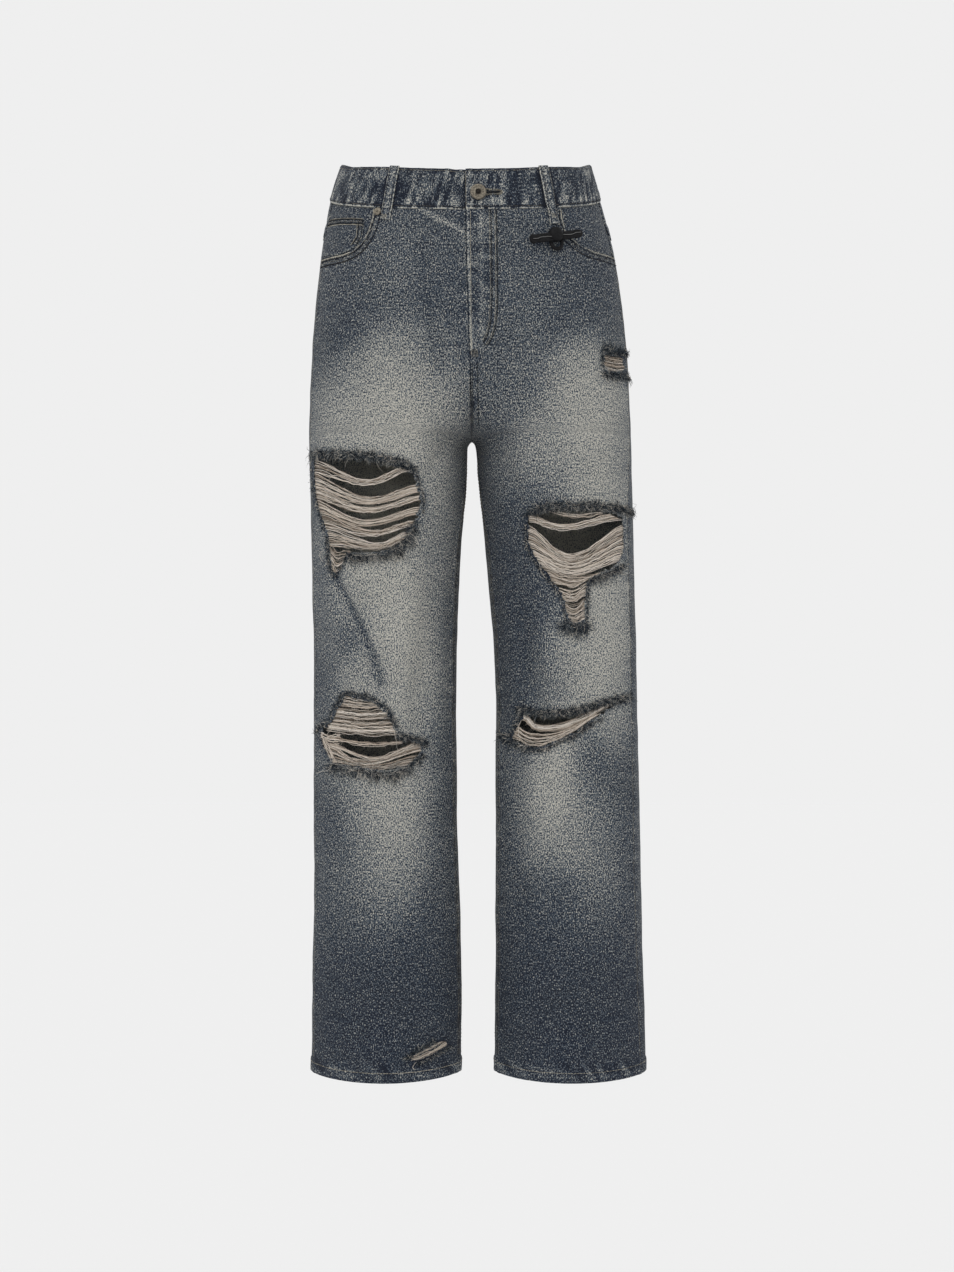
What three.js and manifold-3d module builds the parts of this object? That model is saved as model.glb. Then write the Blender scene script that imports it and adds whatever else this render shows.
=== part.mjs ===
// Ripped wide-leg jeans, filled out as they are worn, with no wearer inside.
// Millimetres, +Z up, front towards -Y. Left and right are the wearer's: right is -X, left is +X.
// The origin is the centre of the waist, level with the top of the waistband at the sides, where a body holds it.
//
// One surface gives the outside of the cloth: above the crotch a ring, below it a ring for each leg.
// A point on it has a side, a turn (0 at the inner leg, 90 at the front, 180 at the outer side, 270 at the back)
// and a height. Panels are stretches of that surface with a wall, and what is sewn on lies on them, moved out.

import * as THREE from "three";
import Module from "manifold-3d";
import { mergeVertices } from "three/addons/utils/BufferGeometryUtils.js";

const wasm = await Module();
wasm.setup();

// ---- Driving dimensions -------------------------------------------------------------------------------------

const WALL = 1.2; // one layer of denim
const GAP = 0.3; // between pieces at a seam
const BAND_HEIGHT = 42;
const BAND_OUT = 1; // the waistband stands this far proud of the panels
const BAND_WALL = 3.2; // two layers and the turned edges
const BAND_LAP_TURN = 56; // the button end runs on this far under the buttonhole end
const CROTCH_Z = -321;
const HEM_Z = -1057;
const HEM_HEIGHT = 15;
const HEM_OUT = 0.9; // the turned-up hem is this much thicker, inside and outside
const HEM_DIP = 5; // the front and back of a hem hang lower than its seams
const WAIST_TILT = 0.3; // the waist drops towards the front, and rises less towards the back
const TILT_EASE = 60;
const WAIST_ARCH = 3.6; // the top edge stands up between the centre front and the hips
const BAND_SAG = 3; // the waistband is this much deeper at the centre front
const SAG_END_Z = -130;
const TILT_END_Z = -230;
const FRONT_RISE = 75; // height over which the crotch seam turns up at the front
const BACK_RISE = 150; // and at the back
const HIP_EASE_BELOW = 90; // away from that seam the hip eases into the leg over this height
const HIP_EASE_ABOVE = 130;
const YOKE_CENTRE_Z = -98;
const YOKE_SIDE_Z = -80;
const YOKE_REACH = 250;
const LOOP_WIDTH = 10.5;
const LOOP_WALL = 2;
const LOOP_TAIL = 14; // a belt loop reaches this far below the waistband
const BUTTON_RADIUS = 8.5;
const RIVET_RADIUS = 4.5;

// Sizes down the garment, each a list of [height, value].
const CENTRE_X = [[0, -5], [-112, -3], [-230, 0], [CROTCH_Z, 2]];
const HIP_FRONT = [[0, 96], [-42, 102], [-110, 110], [-200, 114], [CROTCH_Z, 112]];
const HIP_BACK = [[0, 104], [-42, 112], [-110, 130], [-200, 143], [CROTCH_Z, 136]];
const LEG_FRONT = [[CROTCH_Z, 104], [-420, 98], [-520, 88], [-650, 78], [-800, 70], [HEM_Z, 60]];
const LEG_BACK = [[CROTCH_Z, 118], [-420, 106], [-520, 92], [-650, 80], [-800, 72], [HEM_Z, 62]];
const LEG_MIDDLE = [[CROTCH_Z, 10], [-420, 6], [-650, 2], [HEM_Z, 2]];
const IN_SEAM = [[CROTCH_Z, 0], [-480, 18], [HEM_Z, 16]];

const RIGHT = {
  sign: -1,
  outer: [[0, -150], [-42, -163], [-112, -174], [-218, -184], [CROTCH_Z, -188], [-510, -184], [-627, -182.5],
    [-861, -182.5], [-978, -185], [HEM_Z, -185.5]],
  inner: [[CROTCH_Z, 2], [-324, -1.5], [-331, -4.5], [-370, -5], [-463, -11.5], [-620, -16.5], [-744, -15.5],
    [-978, -9.5], [HEM_Z, -11]],
  outSeam: [[-42, 164], [HEM_Z, 165]],
};
const LEFT = {
  sign: 1,
  outer: [[0, 140], [-42, 152], [-112, 169], [-218, 183], [CROTCH_Z, 188], [-510, 193], [-744, 197.5],
    [-978, 203.5], [HEM_Z, 206]],
  inner: [[CROTCH_Z, 2], [-324, 5.5], [-331, 8], [-370, 10.5], [-463, 18.7], [-557, 27], [-640, 30], [HEM_Z, 29]],
  outSeam: [[-42, 167], [-260, 166], [-440, 153], [-900, 154], [HEM_Z, 157]],
};

// The largest folds: a line from one point to another seen from the front or back, how wide the fold is to each
// side, and how far it stands out. A trough is negative.
const FRONT_FOLDS = [
  [-158, -478, -105, -600, 9, -6],
  [-168, -500, -120, -620, 14, 5],
  [-40, -480, -62, -690, 16, -5],
  [-66, -470, -84, -700, 18, 4],
  [52, -470, 72, -640, 13, -6],
  [80, -520, 96, -640, 16, 4],
  [48, -680, 60, -900, 14, -4],
  [-22, -322, -48, -372, 7, -5],
  [26, -330, 56, -400, 9, -4],
  [-50, -90, -14, -150, 8, 2.5],
];
const BACK_FOLDS = [
  [-150, -330, -40, -352, 12, -7],
  [-140, -372, -50, -392, 12, -5],
  [150, -335, 42, -356, 12, -7],
  [146, -378, 56, -396, 12, -5],
  [-96, -470, -88, -700, 18, 5],
  [108, -470, 116, -720, 18, 5],
  [-130, -640, -40, -668, 11, -4],
  [160, -650, 60, -676, 11, -4],
];

// ---- Small tools --------------------------------------------------------------------------------------------

const radians = THREE.MathUtils.degToRad;
const mix = THREE.MathUtils.lerp;
const clamp = THREE.MathUtils.clamp;
const smooth = (t) => THREE.MathUtils.smoothstep(t, 0, 1);

// The value at height z, on a curve through the list that never overshoots it.
function sizeAt(list, z) {
  const last = list.length - 1;
  if (z >= list[0][0]) return list[0][1];
  if (z <= list[last][0]) return list[last][1];
  const i = list.findIndex((entry) => entry[0] < z) - 1;
  const secant = (k) => (list[k + 1][1] - list[k][1]) / (list[k + 1][0] - list[k][0]);
  const slope = (k) => {
    if (k === 0 || k === last) return secant(Math.min(k, last - 1));
    const before = secant(k - 1);
    const after = secant(k);
    return before * after <= 0 ? 0 : (2 * before * after) / (before + after);
  };
  const [z0, v0] = list[i];
  const [z1, v1] = list[i + 1];
  const span = z1 - z0;
  const t = (z - z0) / span;
  const start = (1 + 2 * t) * (1 - t) * (1 - t) * v0 + t * (1 - t) * (1 - t) * span * slope(i);
  const end = t * t * (3 - 2 * t) * v1 - t * t * (1 - t) * span * slope(i + 1);
  return start + end;
}

// A quarter circle that leaves the crotch level and ends upright, from 0 to 1 over the given rise.
function rise(z, height) {
  const t = clamp((z - CROTCH_Z) / height, 0, 1);
  return Math.sqrt(1 - (1 - t) * (1 - t));
}

// How far the folds in the list stand out at a place seen from the front or back.
function foldAt(folds, x, z) {
  let out = 0;
  for (const [x0, z0, x1, z1, width, height] of folds) {
    const length = Math.hypot(x1 - x0, z1 - z0);
    const along = ((x - x0) * (x1 - x0) + (z - z0) * (z1 - z0)) / length;
    const across = ((x - x0) * (z1 - z0) - (z - z0) * (x1 - x0)) / length;
    const past = Math.max(0, -along, along - length) + 0.35 * length * (Math.abs(along / length - 0.5) / 0.5) ** 2;
    out += height * Math.exp(-((across / width) ** 2) - (past / (0.35 * length)) ** 2);
  }
  return out;
}

// ---- The surface --------------------------------------------------------------------------------------------

// How far the waist's tilt lifts the cloth at a depth and a height.
function waistTilt(y, z) {
  const share = smooth((z - TILT_END_Z) / (-BAND_HEIGHT - TILT_END_Z));
  const arch = WAIST_ARCH * smooth(1 + z / BAND_HEIGHT) * Math.exp(-(((y + 82) / 30) ** 2));
  const sag = BAND_SAG * smooth((-102 - y) / 12) * smooth(-z / BAND_HEIGHT) * smooth((z - SAG_END_Z) / (-BAND_HEIGHT - SAG_END_Z));
  return WAIST_TILT * share * (y > 0 ? y / (1 + y / TILT_EASE) : y) + arch - sag;
}

// The point of the cloth's outside on one side, at a turn in degrees and a height before the waist's tilt.
function surface(side, fullTurn, z) {
  const turn = z < CROTCH_Z ? (fullTurn + 360) % 360 : fullTurn;
  const angle = radians(turn);
  const back = turn > 180;
  const share = (1 - Math.cos(angle)) / 2;
  const inner = sizeAt(z >= CROTCH_Z ? CENTRE_X : side.inner, z);
  const x = mix(inner, sizeAt(side.outer, z), share);
  const legDepth = sizeAt(back ? LEG_BACK : LEG_FRONT, z);
  const yLeg = sizeAt(LEG_MIDDLE, z) - legDepth * Math.sin(angle);
  const hipDepth = sizeAt(back ? HIP_BACK : HIP_FRONT, z);
  const yHip = (back ? 1 : -1) * hipDepth * Math.pow(Math.max(0, 1 - Math.pow(share, 2.3)), 1 / 2.3);
  const seamRise = rise(z, mix(FRONT_RISE, BACK_RISE, smooth(turn / 360)));
  const eased = smooth((z - CROTCH_Z + HIP_EASE_BELOW) / (HIP_EASE_BELOW + HIP_EASE_ABOVE));
  const hip = mix(seamRise, eased, smooth(share / 0.35));
  const fold = foldAt(back ? BACK_FOLDS : FRONT_FOLDS, x, z) * Math.abs(Math.sin(angle));
  const y = mix(yLeg, yHip, hip) + (back ? fold : -fold);
  const dip = HEM_DIP * smooth((z + 950) / (HEM_Z + 950)) * Math.sin(angle) ** 2;
  return new THREE.Vector3(x, y, z + waistTilt(y, z) - dip);
}

// The turn at which the surface has the given x, on the front or on the back.
function turnAtX(side, x, z, back) {
  const inner = z >= CROTCH_Z ? sizeAt(CENTRE_X, z) : sizeAt(side.inner, z);
  const share = clamp((x - inner) / (sizeAt(side.outer, z) - inner), 0, 1);
  const turn = THREE.MathUtils.radToDeg(Math.acos(1 - 2 * share));
  return back ? 360 - turn : turn;
}

// The cloth's outward normal at a place on the surface.
function normalAt(side, turn, z) {
  const from = z < CROTCH_Z ? turn - 3 : clamp(turn - 3, 0, 354);
  const along = surface(side, from + 6, z).sub(surface(side, from, z));
  const down = surface(side, turn, z - 2).sub(surface(side, turn, z + 2));
  return along.cross(down).normalize().multiplyScalar(-side.sign);
}

// A point on the front or back at a given x and height, with the normal there.
function placeAt(x, z, back = false) {
  const side = x < sizeAt(CENTRE_X, z) ? RIGHT : LEFT;
  const turn = turnAtX(side, x, z, back);
  return { point: surface(side, turn, z), normal: normalAt(side, turn, z) };
}

// ---- Solids -------------------------------------------------------------------------------------------------

function solidOf(geometry) {
  const bare = geometry.clone();
  bare.deleteAttribute("normal");
  bare.deleteAttribute("uv");
  const merged = mergeVertices(bare, 1e-4);
  return new wasm.Manifold(new wasm.Mesh({
    numProp: 3,
    vertProperties: new Float32Array(merged.attributes.position.array),
    triVerts: new Uint32Array(merged.index.array),
  }));
}

function geometryOf(solid) {
  const mesh = solid.getMesh();
  const geometry = new THREE.BufferGeometry();
  geometry.setAttribute("position", new THREE.BufferAttribute(mesh.vertProperties, 3));
  geometry.setIndex(new THREE.BufferAttribute(mesh.triVerts, 1));
  return geometry;
}

// The outward normal at each point of a grid of rows and columns, from the points round it.
function gridNormals(grid, flip) {
  const rows = grid.length;
  const columns = grid[0].length;
  return grid.map((row, i) => row.map((_, j) => {
    const across = grid[i][Math.min(j + 1, columns - 1)].clone().sub(grid[i][Math.max(j - 1, 0)]);
    const down = grid[Math.min(i + 1, rows - 1)][j].clone().sub(grid[Math.max(i - 1, 0)][j]);
    return across.cross(down).normalize().multiplyScalar(flip ? -1 : 1);
  }));
}

// A closed wall over a grid of points, from inset to outset along the normals. Both may vary with the row.
function wallOver(grid, normals, inset, outset, flip) {
  const rows = grid.length;
  const columns = grid[0].length;
  const positions = [];
  for (const layer of [outset, inset]) {
    grid.forEach((row, i) => row.forEach((point, j) => {
      positions.push(...point.clone().addScaledVector(normals[i][j], layer(i, j)).toArray());
    }));
  }
  const index = [];
  const at = (layer, i, j) => (layer * rows + i) * columns + j;
  const quad = (a, b, c, d) => (flip ? index.push(a, d, c, a, c, b) : index.push(a, b, c, a, c, d));
  for (let i = 0; i < rows - 1; i++) {
    for (let j = 0; j < columns - 1; j++) {
      quad(at(0, i, j), at(0, i, j + 1), at(0, i + 1, j + 1), at(0, i + 1, j));
      quad(at(1, i, j), at(1, i + 1, j), at(1, i + 1, j + 1), at(1, i, j + 1));
    }
  }
  for (let j = 0; j < columns - 1; j++) {
    quad(at(0, 0, j), at(1, 0, j), at(1, 0, j + 1), at(0, 0, j + 1));
    quad(at(0, rows - 1, j), at(0, rows - 1, j + 1), at(1, rows - 1, j + 1), at(1, rows - 1, j));
  }
  for (let i = 0; i < rows - 1; i++) {
    quad(at(0, i, 0), at(0, i + 1, 0), at(1, i + 1, 0), at(1, i, 0));
    quad(at(0, i, columns - 1), at(1, i, columns - 1), at(1, i + 1, columns - 1), at(0, i + 1, columns - 1));
  }
  const geometry = new THREE.BufferGeometry();
  geometry.setAttribute("position", new THREE.BufferAttribute(new Float32Array(positions), 3));
  geometry.setIndex(index);
  return geometry;
}

// A cutter with the given outline, a list of [x, z], that runs along Y between two depths.
function prism(outline, yFront, yBack) {
  const shape = new THREE.Shape(outline.map(([x, z]) => new THREE.Vector2(x, z)));
  const geometry = new THREE.ExtrudeGeometry(shape, { depth: yBack - yFront, bevelEnabled: false });
  geometry.rotateX(Math.PI / 2).translate(0, yBack, 0);
  return solidOf(geometry);
}

const frontPrism = (outline) => prism(outline, -400, 30);
const backPrism = (outline) => prism(outline, -80, 400);

// An outline moved inwards by the same distance all round.
function inset(outline, distance) {
  const turnsLeft = THREE.ShapeUtils.area(outline.map(([x, z]) => new THREE.Vector2(x, z))) > 0 ? 1 : -1;
  const count = outline.length;
  const inward = (a, b) => new THREE.Vector2(a[1] - b[1], b[0] - a[0]).normalize().multiplyScalar(turnsLeft);
  return outline.map((corner, k) => {
    const before = inward(outline[(k + count - 1) % count], corner);
    const after = inward(corner, outline[(k + 1) % count]);
    const middle = before.clone().add(after).normalize();
    const reach = distance / Math.max(0.4, middle.dot(before));
    return [corner[0] + middle.x * reach, corner[1] + middle.y * reach];
  });
}

// ---- Panels -------------------------------------------------------------------------------------------------

const PANEL_ROWS = [-42.6, -60, -82, -106, -132, -160, -190, -220, -246, -268, -286, -300, -311, -318, CROTCH_Z,
  -324, -331, -350, -385, -425, -470, -515, -560, -610, -660, -715, -780, -850, -920, -985,
  HEM_Z + HEM_HEIGHT + 1, HEM_Z + HEM_HEIGHT, HEM_Z];
const FRONT_COLUMNS = 9;
const BACK_COLUMNS = 10;

// The grid of one quarter: the front from inner to outer seam, or the back from outer to inner seam.
function quarterGrid(side, back) {
  const columns = back ? BACK_COLUMNS : FRONT_COLUMNS;
  const grid = [];
  const normals = [];
  for (const z of PANEL_ROWS) {
    const inSeam = sizeAt(IN_SEAM, z);
    const outSeam = sizeAt(side.outSeam, z);
    const [from, to] = back ? [outSeam, 360 + inSeam] : [inSeam, outSeam];
    const turns = Array.from({ length: columns }, (_, j) => mix(from, to, j / (columns - 1)));
    const row = turns.map((turn) => surface(side, turn, z));
    const first = row[1].clone().sub(row[0]).setLength(GAP / 2);
    const last = row[columns - 2].clone().sub(row[columns - 1]).setLength(GAP / 2);
    row[0].add(first);
    row[columns - 1].add(last);
    grid.push(row);
    normals.push(turns.map((turn) => normalAt(side, turn, z)));
  }
  return { grid, normals, flip: side.sign > 0 };
}

const inHem = (i) => PANEL_ROWS[i] <= HEM_Z + HEM_HEIGHT;

// One layer of denim over a quarter, thicker at the hem.
function panelSolid(quarter) {
  const inner = (i) => -WALL - (inHem(i) ? HEM_OUT : 0);
  const outer = (i) => (inHem(i) ? HEM_OUT : 0);
  return solidOf(wallOver(quarter.grid, quarter.normals, inner, outer, quarter.flip));
}

// A layer that lies on a quarter's outside, or inside it where the distances are negative.
function layerSolid(quarter, from, to) {
  return solidOf(wallOver(quarter.grid, quarter.normals, () => from, () => to, quarter.flip));
}

const quarters = {
  frontRight: quarterGrid(RIGHT, false),
  frontLeft: quarterGrid(LEFT, false),
  backRight: quarterGrid(RIGHT, true),
  backLeft: quarterGrid(LEFT, true),
};

// The scooped mouth of each front pocket, from the waist seam out to the side seam.
const MOUTHS = {
  right: [[-107, 20], [-108, -71], [-112, -87], [-118, -102], [-131, -115], [-151, -120], [-230, -112]],
  left: [[101, 20], [102, -71], [106, -89], [114, -102], [129, -111], [148, -116], [230, -111]],
};
const FACING_MARGIN = 12; // the side cloth runs on this far behind the front

const mouthOutline = (name) => [...MOUTHS[name], [Math.sign(MOUTHS[name][0][0]) * 230, 20]];

// ---- Rips ---------------------------------------------------------------------------------------------------
// hole: the outline where the blue yarns are gone. slits: where the white yarns are broken too, so it is open.

const RIPS = {
  right_thigh: {
    hole: [[-180, -345], [-160, -344], [-134, -347], [-116, -349], [-94, -353], [-76, -357], [-66, -364],
      [-60, -380], [-54, -396], [-57, -410], [-66, -430], [-72, -444], [-88, -454], [-116, -457], [-137, -456],
      [-146, -471], [-153, -482], [-160, -470], [-161, -440], [-170, -416], [-178, -394], [-181, -370]],
    slits: [[[-166, -345.5], [-158, -355], [-142, -368], [-120, -371], [-96, -368], [-76, -358.5],
      [-94, -354], [-116, -350], [-134, -348]]],
  },
  left_thigh: {
    hole: [[67, -413], [86, -407], [119, -409], [143, -408], [172, -412], [176, -420], [176, -462], [156, -478],
      [136, -484], [131, -498], [130, -521], [128, -536], [111, -536], [106, -510], [97, -494], [79, -470],
      [66, -450], [65, -425]],
    slits: [
      [[88, -409], [119, -410.5], [143, -410], [158, -413], [140, -419], [119, -423], [104, -420], [90, -414]],
      [[72, -424], [90, -433], [112, -437], [136, -429], [156, -421], [171, -420], [150, -438], [138, -447],
        [120, -456], [112, -456], [92, -444], [74, -434]],
    ],
  },
  right_knee: {
    hole: [[-143, -619], [-121, -623], [-103, -630], [-92, -641], [-87, -654], [-83, -664], [-66, -670],
      [-54, -675], [-57, -686], [-71, -698], [-88, -704], [-112, -702], [-135, -698], [-155, -698], [-166, -684],
      [-174, -668], [-171, -658], [-158, -650], [-154, -637], [-146, -629]],
    slits: [
      [[-164, -663], [-150, -665], [-110, -666], [-86, -667], [-88, -671], [-112, -672.5], [-150, -670]],
      [[-152, -674.5], [-125, -677], [-90, -678], [-70, -676], [-78, -684], [-92, -691], [-104, -690],
        [-126, -684.5], [-146, -681]],
    ],
  },
  left_knee: {
    hole: [[62, -638], [73, -641], [95, -640], [122, -637], [135, -633], [160, -627], [180, -622], [181, -625.5],
      [160, -632], [148, -641], [135, -648], [119, -661], [102, -667], [84, -677], [73, -679], [62, -675],
      [51, -672], [47, -667], [53, -657], [58, -647]],
    slits: [[[74, -642.5], [95, -641.5], [124, -638.5], [134, -636], [116, -646], [98, -651], [82, -652]]],
  },
  left_hip: {
    hole: [[153, -231], [176, -230], [179, -246], [169, -247], [162, -250], [155, -249], [152, -241]],
    slits: [],
  },
  right_hem: {
    hole: [[-70, -1034], [-57, -1026], [-30, -1015], [-23, -1024], [-44, -1032], [-60, -1038]],
    slits: [],
  },
};

// The white yarns left across a rip, as a wall in the panel's place, open where they are broken.
function ripWeb(panel, rip) {
  let web = panel.intersect(frontPrism(inset(rip.hole, GAP + 0.1)));
  for (const slit of rip.slits) web = web.subtract(frontPrism(slit));
  return web.decompose().sort((a, b) => b.volume() - a.volume())[0];
}

// ---- Waistband and belt loops --------------------------------------------------------------------------------

// Round the waist from the button end, which lies underneath, to the buttonhole end, which lies on top.
function waistband() {
  const under = -(BAND_WALL + 2 * GAP);
  const stops = [];
  const addStops = (side, turns, drop = 0) => stops.push(...turns.map((turn) => ({ side, turn, drop })));
  const between = (from, to, count) => Array.from({ length: count }, (_, k) => mix(from, to, k / (count - 1)));
  addStops(LEFT, [BAND_LAP_TURN, 44, 32, 4], under);
  addStops(RIGHT, [4, 24], under);
  addStops(RIGHT, [38, ...between(52, 180, 7), ...between(204, 340, 7), 360]);
  addStops(LEFT, [...between(340, 204, 7), ...between(180, 50, 8), 38, 26, 1]);
  const heights = [0, -BAND_HEIGHT / 2, -BAND_HEIGHT];
  const grid = heights.map((z) => stops.map(({ side, turn }) => surface(side, turn, z)));
  const normals = heights.map((z) => stops.map(({ side, turn }) => normalAt(side, turn, z)));
  const outer = (i, j) => BAND_OUT + stops[j].drop;
  const inner = (i, j) => BAND_OUT - BAND_WALL + stops[j].drop;
  return wallOver(grid, normals, inner, outer, false);
}

// A belt loop from just over the waistband's top edge to below its seam, at one x at the top and one at the foot.
function beltLoop(topX, footX, back) {
  const foot = -BAND_HEIGHT - LOOP_TAIL;
  const profile = [[0.8, 1.7], [-3, 2], [-14, 2.4], [-30, 2.3], [-42, 1.9], [-47, 1.4], [foot, 0.7]];
  const grid = profile.map(([z, lift]) => {
    const x = mix(topX, footX, clamp(-z / -foot, 0, 1));
    return [-1, 0, 1].map((k) => {
      const { point, normal } = placeAt(x + (k * LOOP_WIDTH) / 2, Math.min(z, 0), back);
      point.addScaledVector(normal, lift);
      point.z += Math.max(0, z);
      return point;
    });
  });
  return wallOver(grid, gridNormals(grid, !back), () => 0, () => LOOP_WALL, !back);
}

// ---- Hardware -----------------------------------------------------------------------------------------------

// A solid of revolution about the cloth's normal at a place on the front.
function turnedOnCloth(profile, x, z, lift, segments) {
  const geometry = new THREE.LatheGeometry(profile.map(([r, h]) => new THREE.Vector2(r, h)), segments);
  const { point, normal } = placeAt(x, z);
  const turn = new THREE.Quaternion().setFromUnitVectors(new THREE.Vector3(0, 1, 0), normal);
  geometry.applyQuaternion(turn);
  point.addScaledVector(normal, lift);
  return geometry.translate(point.x, point.y, point.z);
}

// The shank button: a domed ring with a sunk middle.
function button() {
  const r = BUTTON_RADIUS;
  const profile = [[0, 0], [3.2, 0], [3.2, 1.2], [r - 0.5, 1.4], [r, 2.2], [r - 0.9, 3.3], [r - 3, 3.7],
    [3.6, 3.2], [2.8, 2.2], [0, 2.2]];
  return turnedOnCloth(profile, 9, -21, BAND_OUT + GAP, 20);
}

function rivet(x, z) {
  const r = RIVET_RADIUS;
  return turnedOnCloth([[0, 0], [r, 0], [r - 0.3, 0.9], [1.8, 1.3], [1.2, 1.9], [0, 2]], x, z, GAP, 14);
}

// The ornament at the foot of the left front belt loop: a plain bar over an upright ring.
const BAR = { x: 94, z: -79, length: 64, height: 9.5, depth: 4.5, tilt: 10, lift: 6.2 };
const RING = { width: 16, height: 27, wire: 3.4, depth: 2.6, lift: 3.2 };

function roundedBar(width, height) {
  const r = Math.min(width, height) / 2;
  const shape = new THREE.Shape();
  if (width > height) {
    shape.absarc(width / 2 - r, 0, r, -Math.PI / 2, Math.PI / 2, false);
    shape.absarc(-width / 2 + r, 0, r, Math.PI / 2, Math.PI * 1.5, false);
  } else {
    shape.absarc(0, height / 2 - r, r, 0, Math.PI, false);
    shape.absarc(0, -height / 2 + r, r, Math.PI, Math.PI * 2, false);
  }
  return shape;
}

// A mesh placed on the cloth at the ornament, its local Z along the cloth's normal.
function ornamentPiece(name, geometry, material, lift) {
  const mesh = new THREE.Mesh(geometry, material);
  const { point, normal } = placeAt(BAR.x, BAR.z);
  const upright = new THREE.Vector3(0, 0, 1).projectOnPlane(normal).normalize();
  const sideways = upright.clone().cross(normal);
  mesh.quaternion.setFromRotationMatrix(new THREE.Matrix4().makeBasis(sideways, upright, normal));
  mesh.rotateZ(radians(BAR.tilt));
  mesh.position.copy(point).addScaledVector(normal, lift);
  mesh.name = name;
  return mesh;
}

// ---- Materials ----------------------------------------------------------------------------------------------

const cloth = (color) => new THREE.MeshStandardMaterial({ color, roughness: 0.95, metalness: 0 });
const denim = cloth(0x6f7679);
const darkDenim = cloth(0x434a52);
const yarn = cloth(0xb9aea0);
const metal = new THREE.MeshStandardMaterial({ color: 0x7d766a, roughness: 0.45, metalness: 1 });
const black = new THREE.MeshStandardMaterial({ color: 0x17181a, roughness: 0.5, metalness: 0.2 });

// ---- Assembly -----------------------------------------------------------------------------------------------

const jeans = new THREE.Group();

function add(name, shape, material) {
  const geometry = shape.isBufferGeometry ? shape : geometryOf(shape);
  const mesh = new THREE.Mesh(geometry, material);
  mesh.name = name;
  jeans.add(mesh);
}

add("waistband", waistband(), darkDenim);

// Fronts, with their pocket mouths and rips, the side cloth behind each mouth, and the yarns across each rip.
const fronts = [["right", quarters.frontRight], ["left", quarters.frontLeft]];
for (const [name, quarter] of fronts) {
  const whole = panelSolid(quarter);
  let panel = whole.subtract(frontPrism(mouthOutline(name)));
  for (const [place, rip] of Object.entries(RIPS)) {
    if (!place.startsWith(name)) continue;
    panel = panel.subtract(frontPrism(rip.hole));
    add(`rip_yarns_${place}`, ripWeb(whole, rip), yarn);
  }
  add(`front_${name}`, panel, denim);
  const facing = layerSolid(quarter, -2 * WALL - GAP, -WALL - GAP);
  const behind = frontPrism(inset(mouthOutline(name), -FACING_MARGIN));
  add(`pocket_facing_${name}`, facing.intersect(behind), darkDenim);
}

// The coin pocket lies on the right side cloth, inside the mouth.
const coinOutline = [[-120, -78], [-170, -69], [-171, -112], [-151, -117], [-133, -112.5], [-121.5, -100]];
const coinLayer = layerSolid(quarters.frontRight, -WALL, -GAP / 2);
add("coin_pocket", coinLayer.intersect(frontPrism(coinOutline)), darkDenim);

// The fly: a strip on the left front beside the centre seam, with a round lower corner.
const flyCorner = Array.from({ length: 6 }, (_, k) => {
  const t = (k / 5) * (Math.PI / 2);
  return [8 + 24 * Math.cos(t), -205 - 32 * Math.sin(t)];
});
const flyOutline = [[-12, -20], [34, -20], ...flyCorner, [-12, -238]];
add("fly", layerSolid(quarters.frontLeft, GAP, GAP + 1).intersect(frontPrism(flyOutline)), denim);

// Backs, yokes and back pockets.
const yokeLine = (drop) => [[-YOKE_REACH, YOKE_SIDE_Z - drop], [0, YOKE_CENTRE_Z - drop],
  [YOKE_REACH, YOKE_SIDE_Z - drop]];
const yokeCutter = (drop) => backPrism([...yokeLine(drop), [YOKE_REACH, 80], [-YOKE_REACH, 80]]);
const pocketOutline = (sign) => [[26, -127], [142, -121], [136, -262], [84, -284], [32, -268]]
  .map(([x, z]) => [sign * x, z]);
for (const [name, side, quarter] of [["right", RIGHT, quarters.backRight], ["left", LEFT, quarters.backLeft]]) {
  const whole = panelSolid(quarter);
  add(`back_${name}`, whole.subtract(yokeCutter(GAP)), denim);
  add(`yoke_${name}`, whole.intersect(yokeCutter(0)), denim);
  const patch = layerSolid(quarter, GAP, GAP + WALL).intersect(backPrism(pocketOutline(side.sign)));
  add(`back_pocket_${name}`, patch, denim);
}

add("belt_loop_front_right", beltLoop(-84, -95, false), darkDenim);
add("belt_loop_front_left", beltLoop(82, 95, false), darkDenim);
add("belt_loop_back_right", beltLoop(-100, -104, true), darkDenim);
add("belt_loop_back_left", beltLoop(96, 100, true), darkDenim);
add("belt_loop_centre_back", beltLoop(-5, -4.5, true), darkDenim);

add("button", button(), metal);
add("rivet_right", rivet(-104, -47), metal);

const barGeometry = new THREE.ExtrudeGeometry(roundedBar(BAR.length - 1.6, BAR.height - 1.6), {
  depth: BAR.depth - 1.6, bevelThickness: 0.8, bevelSize: 0.8, bevelSegments: 1, curveSegments: 6,
});
const ringShape = roundedBar(RING.width, RING.height);
ringShape.holes.push(new THREE.Path(roundedBar(RING.width - 2 * RING.wire, RING.height - 2 * RING.wire).getPoints(6)));
const ringGeometry = new THREE.ExtrudeGeometry(ringShape, { depth: RING.depth, bevelEnabled: false, curveSegments: 8 });
jeans.add(ornamentPiece("ornament_bar", barGeometry, black, BAR.lift + 0.8));
jeans.add(ornamentPiece("ornament_ring", ringGeometry, black, RING.lift));

export default jeans;
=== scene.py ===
import math

import bpy
import numpy as np
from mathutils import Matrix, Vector
from mathutils.bvhtree import BVHTree


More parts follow.
